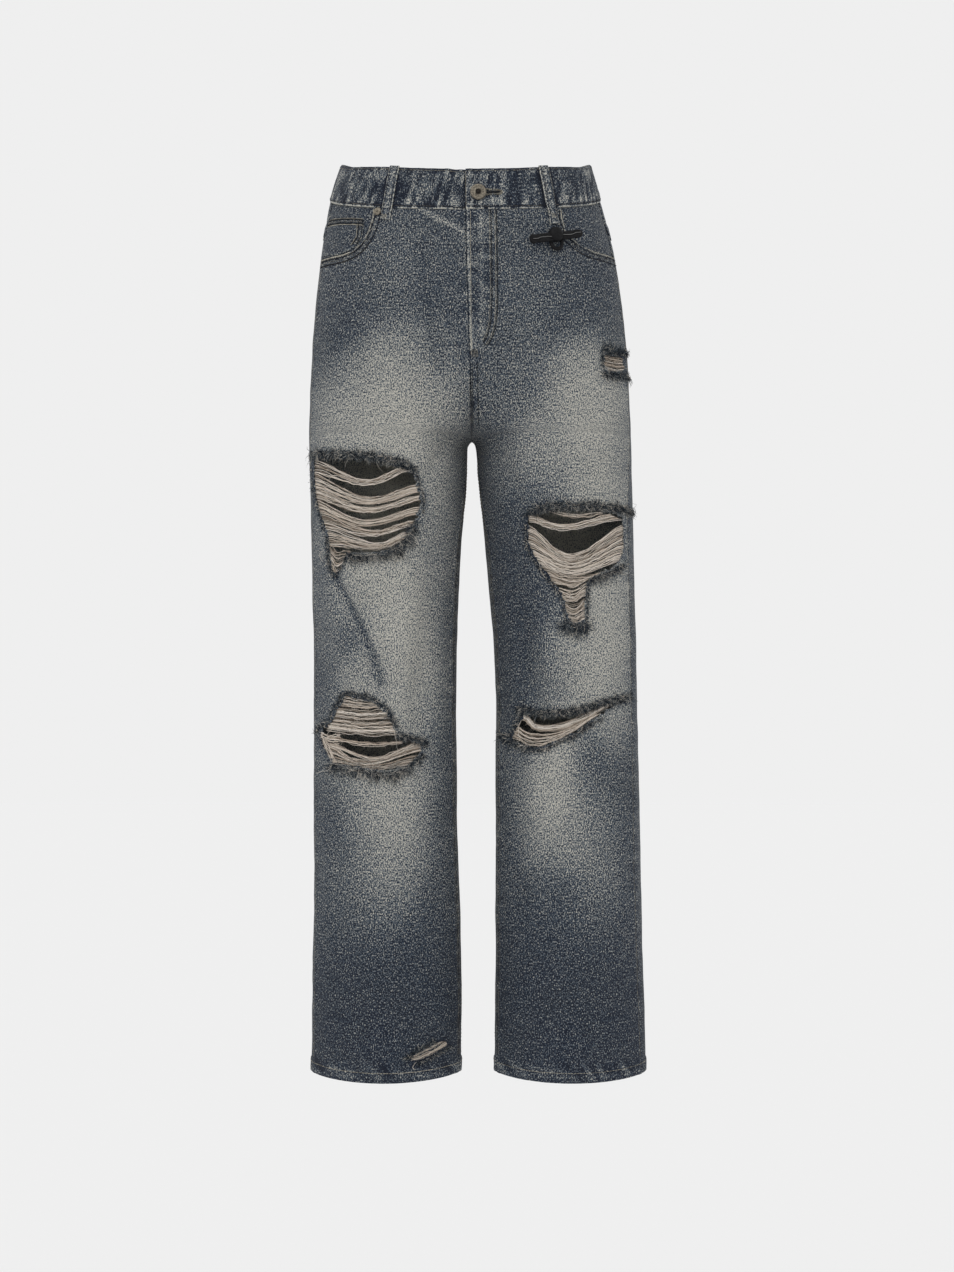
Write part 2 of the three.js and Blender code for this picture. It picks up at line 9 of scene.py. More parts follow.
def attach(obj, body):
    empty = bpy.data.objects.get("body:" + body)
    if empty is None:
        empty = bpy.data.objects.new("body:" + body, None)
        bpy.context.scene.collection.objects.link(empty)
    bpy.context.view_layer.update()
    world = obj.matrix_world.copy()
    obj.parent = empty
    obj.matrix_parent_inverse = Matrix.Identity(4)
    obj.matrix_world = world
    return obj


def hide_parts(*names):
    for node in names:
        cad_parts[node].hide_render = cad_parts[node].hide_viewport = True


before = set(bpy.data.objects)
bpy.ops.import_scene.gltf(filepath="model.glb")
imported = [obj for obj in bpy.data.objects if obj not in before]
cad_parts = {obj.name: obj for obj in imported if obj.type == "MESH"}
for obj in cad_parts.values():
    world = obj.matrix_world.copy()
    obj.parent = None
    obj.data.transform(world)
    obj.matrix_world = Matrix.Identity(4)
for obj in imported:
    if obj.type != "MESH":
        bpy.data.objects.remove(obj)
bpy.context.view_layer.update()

# ---- Sizes ---------------------------------------------------------------------------------------

WALL = 1.2  # one layer of denim
CROTCH_Z = -321
HEM_Z = -1057
BAND = 42  # height of the waistband
BAND_FOOT_Z = -42.6  # where the panels start under it
WAIST_TILT = 0.3  # rise of the waist for each mm towards the back
TILT_EASE = 60
TILT_END_Z = -230
WAIST_ARCH = 3.6  # how far the top edge arches at the front belt loops
ARCH_Y, ARCH_REACH = -82, 30
BAND_SAG = 3.0  # how far the band's foot sags at the middle of the front
SAG_Y, SAG_REACH = -102, 12
SAG_END_Z = -130
FRONT_RISE = 75  # height over which the centre seam curves away from the crotch
BACK_RISE = 150
HIP_BELOW = 90
HIP_ABOVE = 130
HIP_ROUND = 2.3  # how square the hips are from above, where 2 is an ellipse
HEM_DIP = 5
HEM_FOLD_Z = -1041.5  # top of the turned hem
ROPE_Z, ROPE_REACH = -1049, 9  # the twisted part of the hem
FLY_END_Z = -238
MOUTH_END_Z = -130  # below the foot of the pocket mouths

CENTRE_X = [(0, -5), (-112, -3), (-230, 0), (CROTCH_Z, 2)]
HIP_FRONT = [(0, 96), (-42, 102), (-110, 110), (-200, 114), (CROTCH_Z, 112)]
HIP_BACK = [(0, 104), (-42, 112), (-110, 130), (-200, 143), (CROTCH_Z, 136)]
LEG_FRONT = [(CROTCH_Z, 104), (-420, 98), (-520, 88), (-650, 78), (-800, 70), (HEM_Z, 60)]
LEG_BACK = [(CROTCH_Z, 118), (-420, 106), (-520, 92), (-650, 80), (-800, 72), (HEM_Z, 62)]
LEG_MIDDLE = [(CROTCH_Z, 10), (-420, 6), (-650, 2), (HEM_Z, 2)]
IN_SEAM = [(CROTCH_Z, 0), (-480, 18), (HEM_Z, 16)]  # degrees
RIGHT = {
    "name": "right",
    "sign": -1,
    "outer": [(0, -150), (-42, -163), (-112, -174), (-218, -184), (CROTCH_Z, -188), (-510, -184),
              (-627, -182.5), (-861, -182.5), (-978, -185), (HEM_Z, -185.5)],
    "inner": [(CROTCH_Z, 2), (-324, -1.5), (-331, -4.5), (-370, -5), (-463, -11.5), (-620, -16.5),
              (-744, -15.5), (-978, -9.5), (HEM_Z, -11)],
    "out_seam": [(-42, 164), (HEM_Z, 165)],
}
LEFT = {
    "name": "left",
    "sign": 1,
    "outer": [(0, 140), (-42, 152), (-112, 169), (-218, 183), (CROTCH_Z, 188), (-510, 193),
              (-744, 197.5), (-978, 203.5), (HEM_Z, 206)],
    "inner": [(CROTCH_Z, 2), (-324, 5.5), (-331, 8), (-370, 10.5), (-463, 18.7), (-557, 27),
              (-640, 30), (HEM_Z, 29)],
    "out_seam": [(-42, 167), (-260, 166), (-440, 153), (-900, 154), (HEM_Z, 157)],
}

# Folds seen from the front or the back: from one end to the other, half width, and height.
FRONT_FOLDS = [
    (-158, -478, -105, -600, 9, -6), (-168, -500, -120, -620, 14, 5),
    (-40, -480, -62, -690, 16, -5), (-66, -470, -84, -700, 18, 4),
    (52, -470, 72, -640, 13, -6), (80, -520, 96, -640, 16, 4),
    (48, -680, 60, -900, 14, -4), (-22, -322, -48, -372, 7, -5),
    (26, -330, 56, -400, 9, -4), (-50, -90, -14, -150, 8, 2.5),
]
BACK_FOLDS = [
    (-150, -330, -40, -352, 12, -7), (-140, -372, -50, -392, 12, -5),
    (150, -335, 42, -356, 12, -7), (146, -378, 56, -396, 12, -5),
    (-96, -470, -88, -700, 18, 5), (108, -470, 116, -720, 18, 5),
    (-130, -640, -40, -668, 11, -4), (160, -650, 60, -676, 11, -4),
]

# ---- Small tools ---------------------------------------------------------------------------------


def smooth(t):
    t = np.clip(t, 0.0, 1.0)
    return t * t * (3 - 2 * t)


def mix(a, b, t):
    return a + (b - a) * t


def bell(d, width):
    return np.exp(-((d / width) ** 2))


def hashed(ix, iy, seed):
    h = (ix * 374761393 + iy * 668265263 + seed * 974634777) & 0xFFFFFFFF
    h = ((h ^ (h >> 13)) * 1274126177) & 0xFFFFFFFF
    return ((h ^ (h >> 16)) & 0xFFFFFF) / 8388607.5 - 1.0


# Smooth noise from -1 to 1, with one feature to each unit.
def noise(x, y, seed=0):
    x, y = np.broadcast_arrays(np.asarray(x, float), np.asarray(y, float))
    ix, iy = np.floor(x).astype(np.int64), np.floor(y).astype(np.int64)
    tx, ty = smooth(x - ix), smooth(y - iy)
    low = mix(hashed(ix, iy, seed), hashed(ix + 1, iy, seed), tx)
    high = mix(hashed(ix, iy + 1, seed), hashed(ix + 1, iy + 1, seed), tx)
    return mix(low, high, ty)


# The value at each height, on a curve through the list that never overshoots it.
def size_at(table, z):
    zs = np.array([-entry[0] for entry in table], float)
    vs = np.array([entry[1] for entry in table], float)
    at = np.clip(-np.asarray(z, float), zs[0], zs[-1])
    secant = np.diff(vs) / np.diff(zs)
    slope = np.empty(len(zs))
    slope[0], slope[-1] = secant[0], secant[-1]
    a, b = secant[:-1], secant[1:]
    slope[1:-1] = np.where(a * b > 0, 2 * a * b / np.where(a + b == 0, 1, a + b), 0)
    i = np.clip(np.searchsorted(zs, at, side="right") - 1, 0, len(zs) - 2)
    span = zs[i + 1] - zs[i]
    t = (at - zs[i]) / span
    start = (1 + 2 * t) * (1 - t) ** 2 * vs[i] + t * (1 - t) ** 2 * span * slope[i]
    end = t * t * (3 - 2 * t) * vs[i + 1] - t * t * (1 - t) * span * slope[i + 1]
    return start + end


def fold_at(folds, x, z):
    out = np.zeros(np.broadcast(x, z).shape)
    for x0, z0, x1, z1, width, height in folds:
        length = math.hypot(x1 - x0, z1 - z0)
        along = ((x - x0) * (x1 - x0) + (z - z0) * (z1 - z0)) / length
        across = ((x - x0) * (z1 - z0) - (z - z0) * (x1 - x0)) / length
        past = np.maximum(0, np.maximum(-along, along - length))
        past = past + 0.35 * length * (np.abs(along / length - 0.5) / 0.5) ** 2
        out = out + height * np.exp(-((across / width) ** 2) - (past / (0.35 * length)) ** 2)
    return out


# ---- The surface ---------------------------------------------------------------------------------


def waist_tilt(y, z):
    share = smooth((z - TILT_END_Z) / (-BAND - TILT_END_Z))
    arch = WAIST_ARCH * smooth(1 + z / BAND) * np.exp(-(((y - ARCH_Y) / ARCH_REACH) ** 2))
    sag = BAND_SAG * smooth((SAG_Y - y) / SAG_REACH) * smooth(-z / BAND)
    sag = sag * smooth((z - SAG_END_Z) / (-BAND - SAG_END_Z))
    tilt = WAIST_TILT * share * np.where(y > 0, y / (1 + np.maximum(y, 0) / TILT_EASE), y)
    return tilt + arch - sag


# The point of the cloth's outside at a turn in degrees (0 inner leg, 90 front, 180 outer side,
# 270 back) and a height before the waist's tilt.
def surface(side, turn, z):
    turn, z = np.broadcast_arrays(np.asarray(turn, float), np.asarray(z, float))
    turn = np.where(z < CROTCH_Z, np.mod(turn, 360.0), turn)
    angle = np.radians(turn)
    back = turn > 180
    share = (1 - np.cos(angle)) / 2
    inner = np.where(z >= CROTCH_Z, size_at(CENTRE_X, z), size_at(side["inner"], z))
    x = mix(inner, size_at(side["outer"], z), share)
    leg = np.where(back, size_at(LEG_BACK, z), size_at(LEG_FRONT, z))
    y_leg = size_at(LEG_MIDDLE, z) - leg * np.sin(angle)
    hip_depth = np.where(back, size_at(HIP_BACK, z), -size_at(HIP_FRONT, z))
    y_hip = hip_depth * np.maximum(0, 1 - share ** HIP_ROUND) ** (1 / HIP_ROUND)
    t = np.clip((z - CROTCH_Z) / mix(FRONT_RISE, BACK_RISE, smooth(turn / 360)), 0, 1)
    seam_rise = np.sqrt(1 - (1 - t) ** 2)
    eased = smooth((z - CROTCH_Z + HIP_BELOW) / (HIP_BELOW + HIP_ABOVE))
    hip = mix(seam_rise, eased, smooth(share / 0.35))
    fold = np.where(back, fold_at(BACK_FOLDS, x, z), -fold_at(FRONT_FOLDS, x, z))
    y = mix(y_leg, y_hip, hip) + fold * np.abs(np.sin(angle))
    dip = HEM_DIP * smooth((z + 950) / (HEM_Z + 950)) * np.sin(angle) ** 2
    return np.stack([x, y, z + waist_tilt(y, z) - dip], -1)


def unit(v):
    return v / np.maximum(np.linalg.norm(v, axis=-1, keepdims=True), 1e-9)


def normal_at(side, turn, z):
    turn, z = np.broadcast_arrays(np.asarray(turn, float), np.asarray(z, float))
    start = np.where(z < CROTCH_Z, turn - 3, np.clip(turn - 3, 0, 354))
    along = surface(side, start + 6, z) - surface(side, start, z)
    down = surface(side, turn, z - 2) - surface(side, turn, z + 2)
    return unit(np.cross(along, down)) * -side["sign"]


def turn_at_x(side, x, z, back=False):
    inner = np.where(z >= CROTCH_Z, size_at(CENTRE_X, z), size_at(side["inner"], z))
    share = np.clip((x - inner) / (size_at(side["outer"], z) - inner), 0, 1)
    turn = np.degrees(np.arccos(1 - 2 * share))
    return np.where(back, 360 - turn, turn)


# Points and normals on the front or back at x, z as seen, which is after the waist's tilt.
def place(x, z, back=False, lift=0.0):
    x, z = np.broadcast_arrays(np.asarray(x, float), np.asarray(z, float))
    points, normals = np.zeros(x.shape + (3,)), np.zeros(x.shape + (3,))
    is_left = x >= size_at(CENTRE_X, z)
    for side, mine in ((RIGHT, ~is_left), (LEFT, is_left)):
        zz = z.copy()
        for _ in range(6):
            p = surface(side, turn_at_x(side, x, zz, back), zz)
            zz = zz + (z - p[..., 2])
        turn = turn_at_x(side, x, zz, back)
        p, n = surface(side, turn, zz), normal_at(side, turn, zz)
        points[mine], normals[mine] = p[mine], n[mine]
    return points + normals * np.asarray(lift)[..., None], normals


# ---- Rips ----------------------------------------------------------------------------------------
# Outlines of the places where the blue yarns are gone.

RIPS = {
    "right_thigh": [(-180, -345), (-160, -344), (-134, -347), (-116, -349), (-94, -353), (-76, -357),
                    (-66, -364), (-60, -380), (-54, -396), (-57, -410), (-66, -430), (-72, -444),
                    (-88, -454), (-116, -457), (-137, -456), (-146, -471), (-153, -482), (-160, -470),
                    (-161, -440), (-170, -416), (-178, -394), (-181, -370)],
    "left_thigh": [(67, -413), (86, -407), (119, -409), (143, -408), (172, -412), (176, -420),
                   (176, -462), (156, -478), (136, -484), (131, -498), (130, -521), (128, -536),
                   (111, -536), (106, -510), (97, -494), (79, -470), (66, -450), (65, -425)],
    "right_knee": [(-143, -619), (-121, -623), (-103, -630), (-92, -641), (-87, -654), (-83, -664),
                   (-66, -670), (-54, -675), (-57, -686), (-71, -698), (-88, -704), (-112, -702),
                   (-135, -698), (-155, -698), (-166, -684), (-174, -668), (-171, -658), (-158, -650),
                   (-154, -637), (-146, -629)],
    "left_knee": [(62, -638), (73, -641), (95, -640), (122, -637), (135, -633), (160, -627),
                  (180, -622), (181, -625.5), (160, -632), (148, -641), (135, -648), (119, -661),
                  (102, -667), (84, -677), (73, -679), (62, -675), (51, -672), (47, -667), (53, -657),
                  (58, -647)],
    "left_hip": [(153, -231), (176, -230), (179, -246), (169, -247), (162, -250), (155, -249),
                 (152, -241)],
    "right_hem": [(-70, -1034), (-57, -1026), (-30, -1015), (-23, -1024), (-44, -1032), (-60, -1038)],
}
MOUTHS = {
    "right": [(-107, 20), (-108, -71), (-112, -87), (-118, -102), (-131, -115), (-151, -120), (-230, -112)],
    "left": [(101, 20), (102, -71), (106, -89), (114, -102), (129, -111), (148, -116), (230, -111)],
}
COIN = [(-120, -78), (-170, -69), (-171, -112), (-151, -117), (-133, -112.5), (-121.5, -100)]
BACK_POCKET = [(26, -127), (142, -121), (136, -262), (84, -284), (32, -268)]
FLY_LINE = [(28, -52), (29.5, -120), (30, -190), (26, -214), (17, -230), (4, -239)]


FLY_OUTLINE = [(-30, -20), (29, -20)] + FLY_LINE + [(-30, -240)]
FLY_TROUGH = [(-54, -111), (-46, -180), (-37, -250)]  # beside the fly, from the pocket down
FLY_SWELL = [(-60, -112), (-56, -180), (-48, -240)]
WHISKER = [(-66, -66), (-43, -79.5), (-8, -98.5)]
THIGH_CREASE = [(-154, -484), (-140, -508), (-124, -538), (-110, -572), (-101, -602)]


def yoke_z(x):
    return -98 + np.abs(x) * 18 / 250


# Distance to an open or closed line, and whether inside a closed one.
def line_distance(points, x, z, closed=True):
    pts = np.array(points, float)
    ends = np.roll(pts, -1, 0) if closed else pts[1:]
    starts = pts if closed else pts[:-1]
    best = np.full(np.shape(x), 1e9)
    inside = np.zeros(np.shape(x), bool)
    for (x0, z0), (x1, z1) in zip(starts, ends):
        dx, dz = x1 - x0, z1 - z0
        t = np.clip(((x - x0) * dx + (z - z0) * dz) / max(dx * dx + dz * dz, 1e-9), 0, 1)
        best = np.minimum(best, np.hypot(x - x0 - t * dx, z - z0 - t * dz))
        if closed and dz != 0:
            cross = (z0 > z) != (z1 > z)
            inside ^= cross & (x < x0 + (z - z0) / dz * dx)
    return np.where(inside, -best, best)


def path_distance(points, x, z):
    return line_distance(points, x, z, False)


# Points about every step mm along a line.
def along_line(points, step):
    pts = np.array(points, float)
    lengths = np.linalg.norm(np.diff(pts, axis=0), axis=1)
    total = np.concatenate([[0], np.cumsum(lengths)])
    count = max(2, int(round(total[-1] / step)) + 1)
    s = np.linspace(0, total[-1], count)
    return np.stack([np.interp(s, total, pts[:, k]) for k in range(pts.shape[1])], -1)


# A line rounded by cutting its corners twice.
def rounded(points, times=2):
    pts = np.array(points, float)
    for _ in range(times):
        a, b = pts[:-1], pts[1:]
        cut = np.stack([a * 0.75 + b * 0.25, a * 0.25 + b * 0.75], 1).reshape(-1, pts.shape[1])
        pts = np.concatenate([pts[:1], cut[1:-1], pts[-1:]])
    return pts


# ---- Wear and painted shade ----------------------------------------------------------------------
# Pale places: centre x, z, reach x, z, strength. 0 is unworn and 1 is the palest.

FRONT_FADES = [
    (-95, -318, 92, 88, 0.9), (-42, -290, 62, 90, 0.5), (-150, -330, 40, 100, 0.4),
    (-100, -470, 82, 150, 0.92), (-72, -590, 62, 120, 0.8), (-110, -650, 66, 120, 0.6),
    (-88, -750, 56, 115, 0.72), (-112, -835, 60, 80, 0.2), (-88, -236, 50, 52, 0.5),
    (-30, -430, 30, 90, 0.4), (-80, -135, 50, 60, 0.16), (132, -292, 62, 84, 0.8),
    (62, -306, 56, 90, 0.26), (150, -395, 62, 120, 0.8), (90, -350, 60, 60, 0.4),
    (152, -540, 52, 120, 0.88), (110, -590, 40, 90, 0.5), (92, -725, 46, 112, 0.84),
    (140, -790, 40, 100, 0.35), (130, -240, 40, 44, 0.26), (150, -640, 50, 60, 0.4),
    (60, -180, 40, 70, 0.1),
]
# Darker places, painted shade in the thigh's crease and where the cloth turns from the light at the sides of the
# hips and the inner legs: centre x, z, reach x, z, strength.
FRONT_PAINTED_SHADE = [
    (146, -130, 30, 50, 0.1), (-150, -210, 26, 50, 0.08), (40, -500, 26, 70, 0.08),
    (58, -850, 44, 110, 0.07), (-132, -540, 22, 42, 0.3), (-104, -600, 22, 34, 0.26),
    (58, -560, 24, 90, 0.12), (40, -440, 26, 60, 0.06),
]
BACK_FADES = [
    (-95, -190, 66, 80, 0.7), (95, -190, 66, 80, 0.7), (-105, -400, 66, 160, 0.7),
    (110, -400, 66, 160, 0.6), (-100, -650, 60, 140, 0.5), (112, -650, 60, 140, 0.5),
    (-98, -850, 54, 130, 0.3), (112, -850, 54, 130, 0.3),
]


def fade_and_shade_at(x, z, back):
    left = np.ones(np.shape(x))
    for cx, cz, rx, rz, strength in (BACK_FADES if back else FRONT_FADES):
        d = np.hypot((x - cx) / rx, (z - cz) / rz) + 0.12 * noise(x / 34, z / 40, 3)
        left = left * (1 - strength * (1 - smooth((d - 0.15) / 1.15)))
    # Darker towards the hems, and painted shade at the front's darker places.
    dark = 0.29 * smooth((-815 - z) / 170)
    if not back:
        for cx, cz, rx, rz, strength in FRONT_PAINTED_SHADE:
            dark = dark + strength * np.exp(-((x - cx) / rx) ** 2 - ((z - cz) / rz) ** 2)
    return 1 - left - dark


# The broad unevenness of worn cloth, the same for every layer of the front.
def body_relief(x, z):
    return 0.55 * noise(x / 30, z / 46, 11) + 0.3 * noise(x / 13 + z / 40, z / 19, 12)


def hem_at(z):
    return smooth((HEM_FOLD_Z - z) / 1.5)


def hem_rope(x, z):
    return noise(x / 7 + z / 11, z / 16 + x / 60, 13) * bell(z - ROPE_Z, ROPE_REACH)


# Over the fly: 1 above its end, the distance to its outline, 1 inside it, and its ridge's middle in x.
def fly_at(x, z):
    line = line_distance(FLY_OUTLINE, x, z)
    ridge_x = x - 13 - 1.2 * noise(z / 18, 1, 31)
    return smooth((z - FLY_END_Z) / 8), line, smooth((0.8 - line) / 2.5), ridge_x


# How far the cloth stands out over its plain form, and what its seams do to it.
# a, b: distances along the cloth to the inner and the outer seam.
def relief(side, x, z, a, b, back):
    left = side["sign"] > 0
    out = body_relief(x, z) + 0.9 * hem_at(z) + 0.75 * hem_rope(x, z)
    for d, seed in ((a, 21), (b, 22)):
        pucker = noise(z / 4.6, seed, seed) * 0.7 + noise(z / 9.5, seed, seed + 5) * 0.5
        out = out + pucker * np.exp(-d / 8) * (1 - bell(d, 1.5)) * 0.7
        out = out - 0.7 * bell(d, 1.4)
    felled = smooth((9.5 - a) / 1.2) * (1 if back else z < CROTCH_Z)
    out = out + 0.8 * felled + 0.5 * smooth((8.5 - b) / 1.2) * (0 if back else 1)
    if not back and left:
        over, _, raised, ridge_x = fly_at(x, z)
        out = out + 0.9 * raised * over + over * 0.9 * bell(a, 2.0)
        out = out + (0.9 + 0.4 * noise(z / 9, 2, 32)) * (bell(ridge_x, 3.0) * over)
        whisk = noise(z / 6.5 + x / 30, x / 22, 33) * raised * over
        out = out + 0.55 * whisk - 0.5 * bell(x - 23, 2) * over
    if not back and not left:
        out = out - 1.8 * bell(path_distance(THIGH_CREASE, x, z), 3.6)
        out = out + 0.9 * bell(path_distance(THIGH_CREASE, x + 8, z + 2), 5)
        out = out - 2.4 * bell(path_distance(FLY_TROUGH, x, z), 9) * smooth((-95 - z) / 40)
        out = out + 1.2 * bell(path_distance(FLY_SWELL, x, z), 11)
        whisker = path_distance(WHISKER, x, z)
        out = out + 1.6 * bell(whisker, 3.2) - 1.0 * bell(whisker - 6, 3.5)
    if not back:
        top = np.clip((-43 - z) / 18, 0, 1)
        pucker = noise(x / 4.5, 3, 41) * 0.6 + noise(x / 10, 3, 42) * 0.5
        out = out + 0.8 * pucker * (1 - top) ** 2
        mouth = path_distance(MOUTHS[side["name"]], x, z)
        out = out + 0.8 * smooth((10.5 - mouth) / 1.5) * (z > MOUTH_END_Z)
        out = out + 0.4 * noise(x / 5 + z / 5, z / 7, 44) * bell(mouth - 5, 5) * (z > MOUTH_END_Z)
    return out


# Where the puckers and folded edges are worn pale (+) or stay dark (-), with painted shade along the thigh's
# crease and in the trough beside the fly.
def seam_wear_and_shade(side, x, z, a, b, back):
    out = np.zeros(np.shape(x))
    for d, seed in ((a, 21), (b, 22)):
        pucker = noise(z / 4.6, seed, seed) * 0.7 + noise(z / 9.5, seed, seed + 5) * 0.6
        out = out + (0.5 * pucker - 0.12) * np.exp(-d / 7)
        out = out + 0.34 * bell(d - 1.8, 1.2) - 0.7 * bell(d, 1.0)
    out = out + 0.75 * hem_rope(x, z) + 0.3 * bell(z + 1055, 1.8) - 0.1 * bell(z + 1043, 1.6)
    if back:
        d = z - yoke_z(x)
        out = out + (0.3 * noise(x / 5, 5, 51) - 0.05) * bell(d, 7)
        pocket = line_distance([(side["sign"] * px, pz) for px, pz in BACK_POCKET], x, z)
        return out + 0.2 * bell(pocket - 2, 3)
    top = bell(z + 46, 12)
    out = out + 0.5 * bell(z + 43.4, 1.0) * (x * side["sign"] > 4)
    out = out + (0.5 * noise(x / 4.5, 3, 41) + 0.25 * noise(x / 10, 3, 42)) * top
    mouth = path_distance(MOUTHS[side["name"]], x, z)
    lines = 0.85 * bell(mouth - 0.6, 1.1) - 0.5 * bell(mouth - 2.7, 0.9)
    lines = lines - 0.4 * bell(mouth - 8.2, 0.8) + 0.25 * bell(mouth - 10, 0.9)
    ribs = 0.5 * noise(x / 1.9 + z / 1.9, (x - z) / 1.9, 44) + 0.05
    out = out + (lines + ribs * bell(mouth - 5.4, 2.2)) * (z > MOUTH_END_Z)
    if side["sign"] > 0:
        over, line, raised, ridge_x = fly_at(x, z)
        raised = raised * over
        out = out + (0.4 * noise(z / 6.5 + x / 30, x / 22, 33) + 0.05) * raised
        out = out + 0.5 * bell(ridge_x, 2.0) * over
        out = out + 0.2 * bell(line, 2.2) * over * noise(z / 5, 1, 34) - 0.05 * raised
        out = out + 0.8 * bell(a - 1, 1.5) * over
        out = out + (0.35 * noise(z / 5, 4, 35) - 0.2) * bell(a - 5, 5) * (1 - over) * (z > -325)
    else:
        out = out + 0.8 * bell(path_distance(WHISKER, x, z), 2.6) * smooth((x + 70) / 30)
        # Painted shade in the trough beside the fly.
        out = out - 0.16 * bell(path_distance(FLY_TROUGH, x, z), 8)
        # Painted shade along the thigh's crease, broader lower down.
        broadening = 3.4 + 2.5 * smooth((-520 - z) / 80)
        out = out - 0.62 * bell(path_distance(THIGH_CREASE, x, z), broadening)
    for name, outline in RIPS.items():
        if name.startswith(side["name"]):
            d = line_distance(outline, x, z)
            out = out - 0.5 * bell(np.maximum(d, 0), 4.5 if "hem" not in name else 2)
    return out


# ---- Meshes --------------------------------------------------------------------------------------

MATERIALS = {}
BVHS = {}  # of each sheet in mm, for the stitches that lie on it


def new_object(name, points, faces, materials, face_materials=None, floats=None, vectors=None):
    mesh = bpy.data.meshes.new(name)
    points = np.asarray(points, float) * 0.001
    faces = np.asarray(faces, np.int32)
    width = faces.shape[1]
    mesh.vertices.add(len(points))
    mesh.vertices.foreach_set("co", points.astype(np.float32).ravel())
    mesh.loops.add(faces.size)
    mesh.loops.foreach_set("vertex_index", faces.ravel())
    mesh.polygons.add(len(faces))
    mesh.polygons.foreach_set("loop_start", np.arange(0, faces.size, width, dtype=np.int32))
    mesh.polygons.foreach_set("loop_total", np.full(len(faces), width, np.int32))
    for material in materials:
        mesh.materials.append(MATERIALS[material])
    if face_materials is not None:
        mesh.polygons.foreach_set("material_index", np.asarray(face_materials, np.int32))
    mesh.update(calc_edges=True)
    mesh.validate()
    mesh.polygons.foreach_set("use_smooth", np.full(len(mesh.polygons), True))
    for key, values in (floats or {}).items():
        mesh.attributes.new(key, "FLOAT", "POINT").data.foreach_set("value", np.asarray(values, np.float32))
    for key, values in (vectors or {}).items():
        layer = mesh.attributes.new(key, "FLOAT_VECTOR", "POINT")
        layer.data.foreach_set("vector", np.asarray(values, np.float32).ravel())
    obj = bpy.data.objects.new(name, mesh)
    bpy.context.scene.collection.objects.link(obj)
    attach(obj, "root")
    return obj


# A wall over a grid: outside, inside and the edges between them, for the kept faces.
def cloth_mesh(name, outer, inner, keep, flip, materials, floats, cloth):
    rows, cols = outer.shape[:2]
    index = np.arange(rows * cols).reshape(rows, cols)
    a, b, c, d = index[:-1, :-1], index[:-1, 1:], index[1:, 1:], index[1:, :-1]
    quads = np.stack([a, b, c, d], -1)
    if flip:
        quads = quads[..., ::-1]
    kept = quads[keep]
    size = rows * cols
    faces, kinds = [kept, kept[:, ::-1] + size], [np.zeros(len(kept)), np.ones(len(kept))]
    padded = np.zeros((rows + 1, cols + 1), bool)
    padded[1:-1, 1:-1] = keep
    across = padded[1:, 1:-1] != padded[:-1, 1:-1]  # edges along a row: face below against face above
    down = padded[1:-1, 1:] != padded[1:-1, :-1]
    for edges, is_row in ((across, True), (down, False)):
        i, j = np.nonzero(edges)
        first = index[i, j]
        second = index[i, j + 1] if is_row else index[i + 1, j]
        after = padded[i + 1, j + 1]  # the kept face lies after the edge
        turn = after ^ flip ^ (not is_row)
        p, q = np.where(turn, second, first), np.where(turn, first, second)
        faces.append(np.stack([p, q, q + size, p + size], -1))
        kinds.append(np.full(len(i), 2))
    faces, kinds = np.concatenate(faces), np.concatenate(kinds)
    points = np.concatenate([outer.reshape(-1, 3), inner.reshape(-1, 3)])
    used = np.unique(faces)
    lookup = np.zeros(len(points), np.int64)
    lookup[used] = np.arange(len(used))
    both = {k: np.concatenate([v.ravel(), v.ravel()])[used] for k, v in floats.items()}
    uv = np.concatenate([cloth.reshape(-1, 3), cloth.reshape(-1, 3)])[used]
    kinds = np.minimum(kinds, len(materials) - 1)
    obj = new_object(name, points[used], lookup[faces], materials, kinds, both, {"cloth": uv * 0.001})
    obj.data.set_sharp_from_angle(angle=math.radians(48))
    return obj


# One sheet's mesh in place of its solids: fade and wear, with painted shade in them, colour it, cloth is its flat
# place in mm.
def sheet_object(nodes, outer, inner, keep, flip, fade_and_shade, wear_and_shade, cloth, outside="denim"):
    values = {"fade_and_shade": fade_and_shade, "wear_and_shade": wear_and_shade}
    materials = [outside, "denim_inside", "denim_edge"]
    obj = cloth_mesh(nodes[0] + "_cloth", outer, inner, keep, flip, materials, values, cloth)
    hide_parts(*nodes)
    co = np.empty(len(obj.data.vertices) * 3, np.float32)
    obj.data.vertices.foreach_get("co", co)
    faces = np.empty(len(obj.data.loops), np.int32)
    obj.data.loops.foreach_get("vertex_index", faces)
    points = (co.reshape(-1, 3) * 1000).tolist()
    BVHS[obj.name] = BVHTree.FromPolygons(points, faces.reshape(-1, 4).tolist())


def all_faces(grid):
    return np.ones((grid.shape[0] - 1, grid.shape[1] - 1), bool)


# Columns near each seam, in mm from it, and the number of steps in which a row is measured.
NEAR_SEAM = np.array([0, 0.7, 1.6, 2.6, 3.8, 5, 6.4, 7.8, 8.6, 9.4, 10.2, 11.5, 13.5])
ARC_STEPS = 241


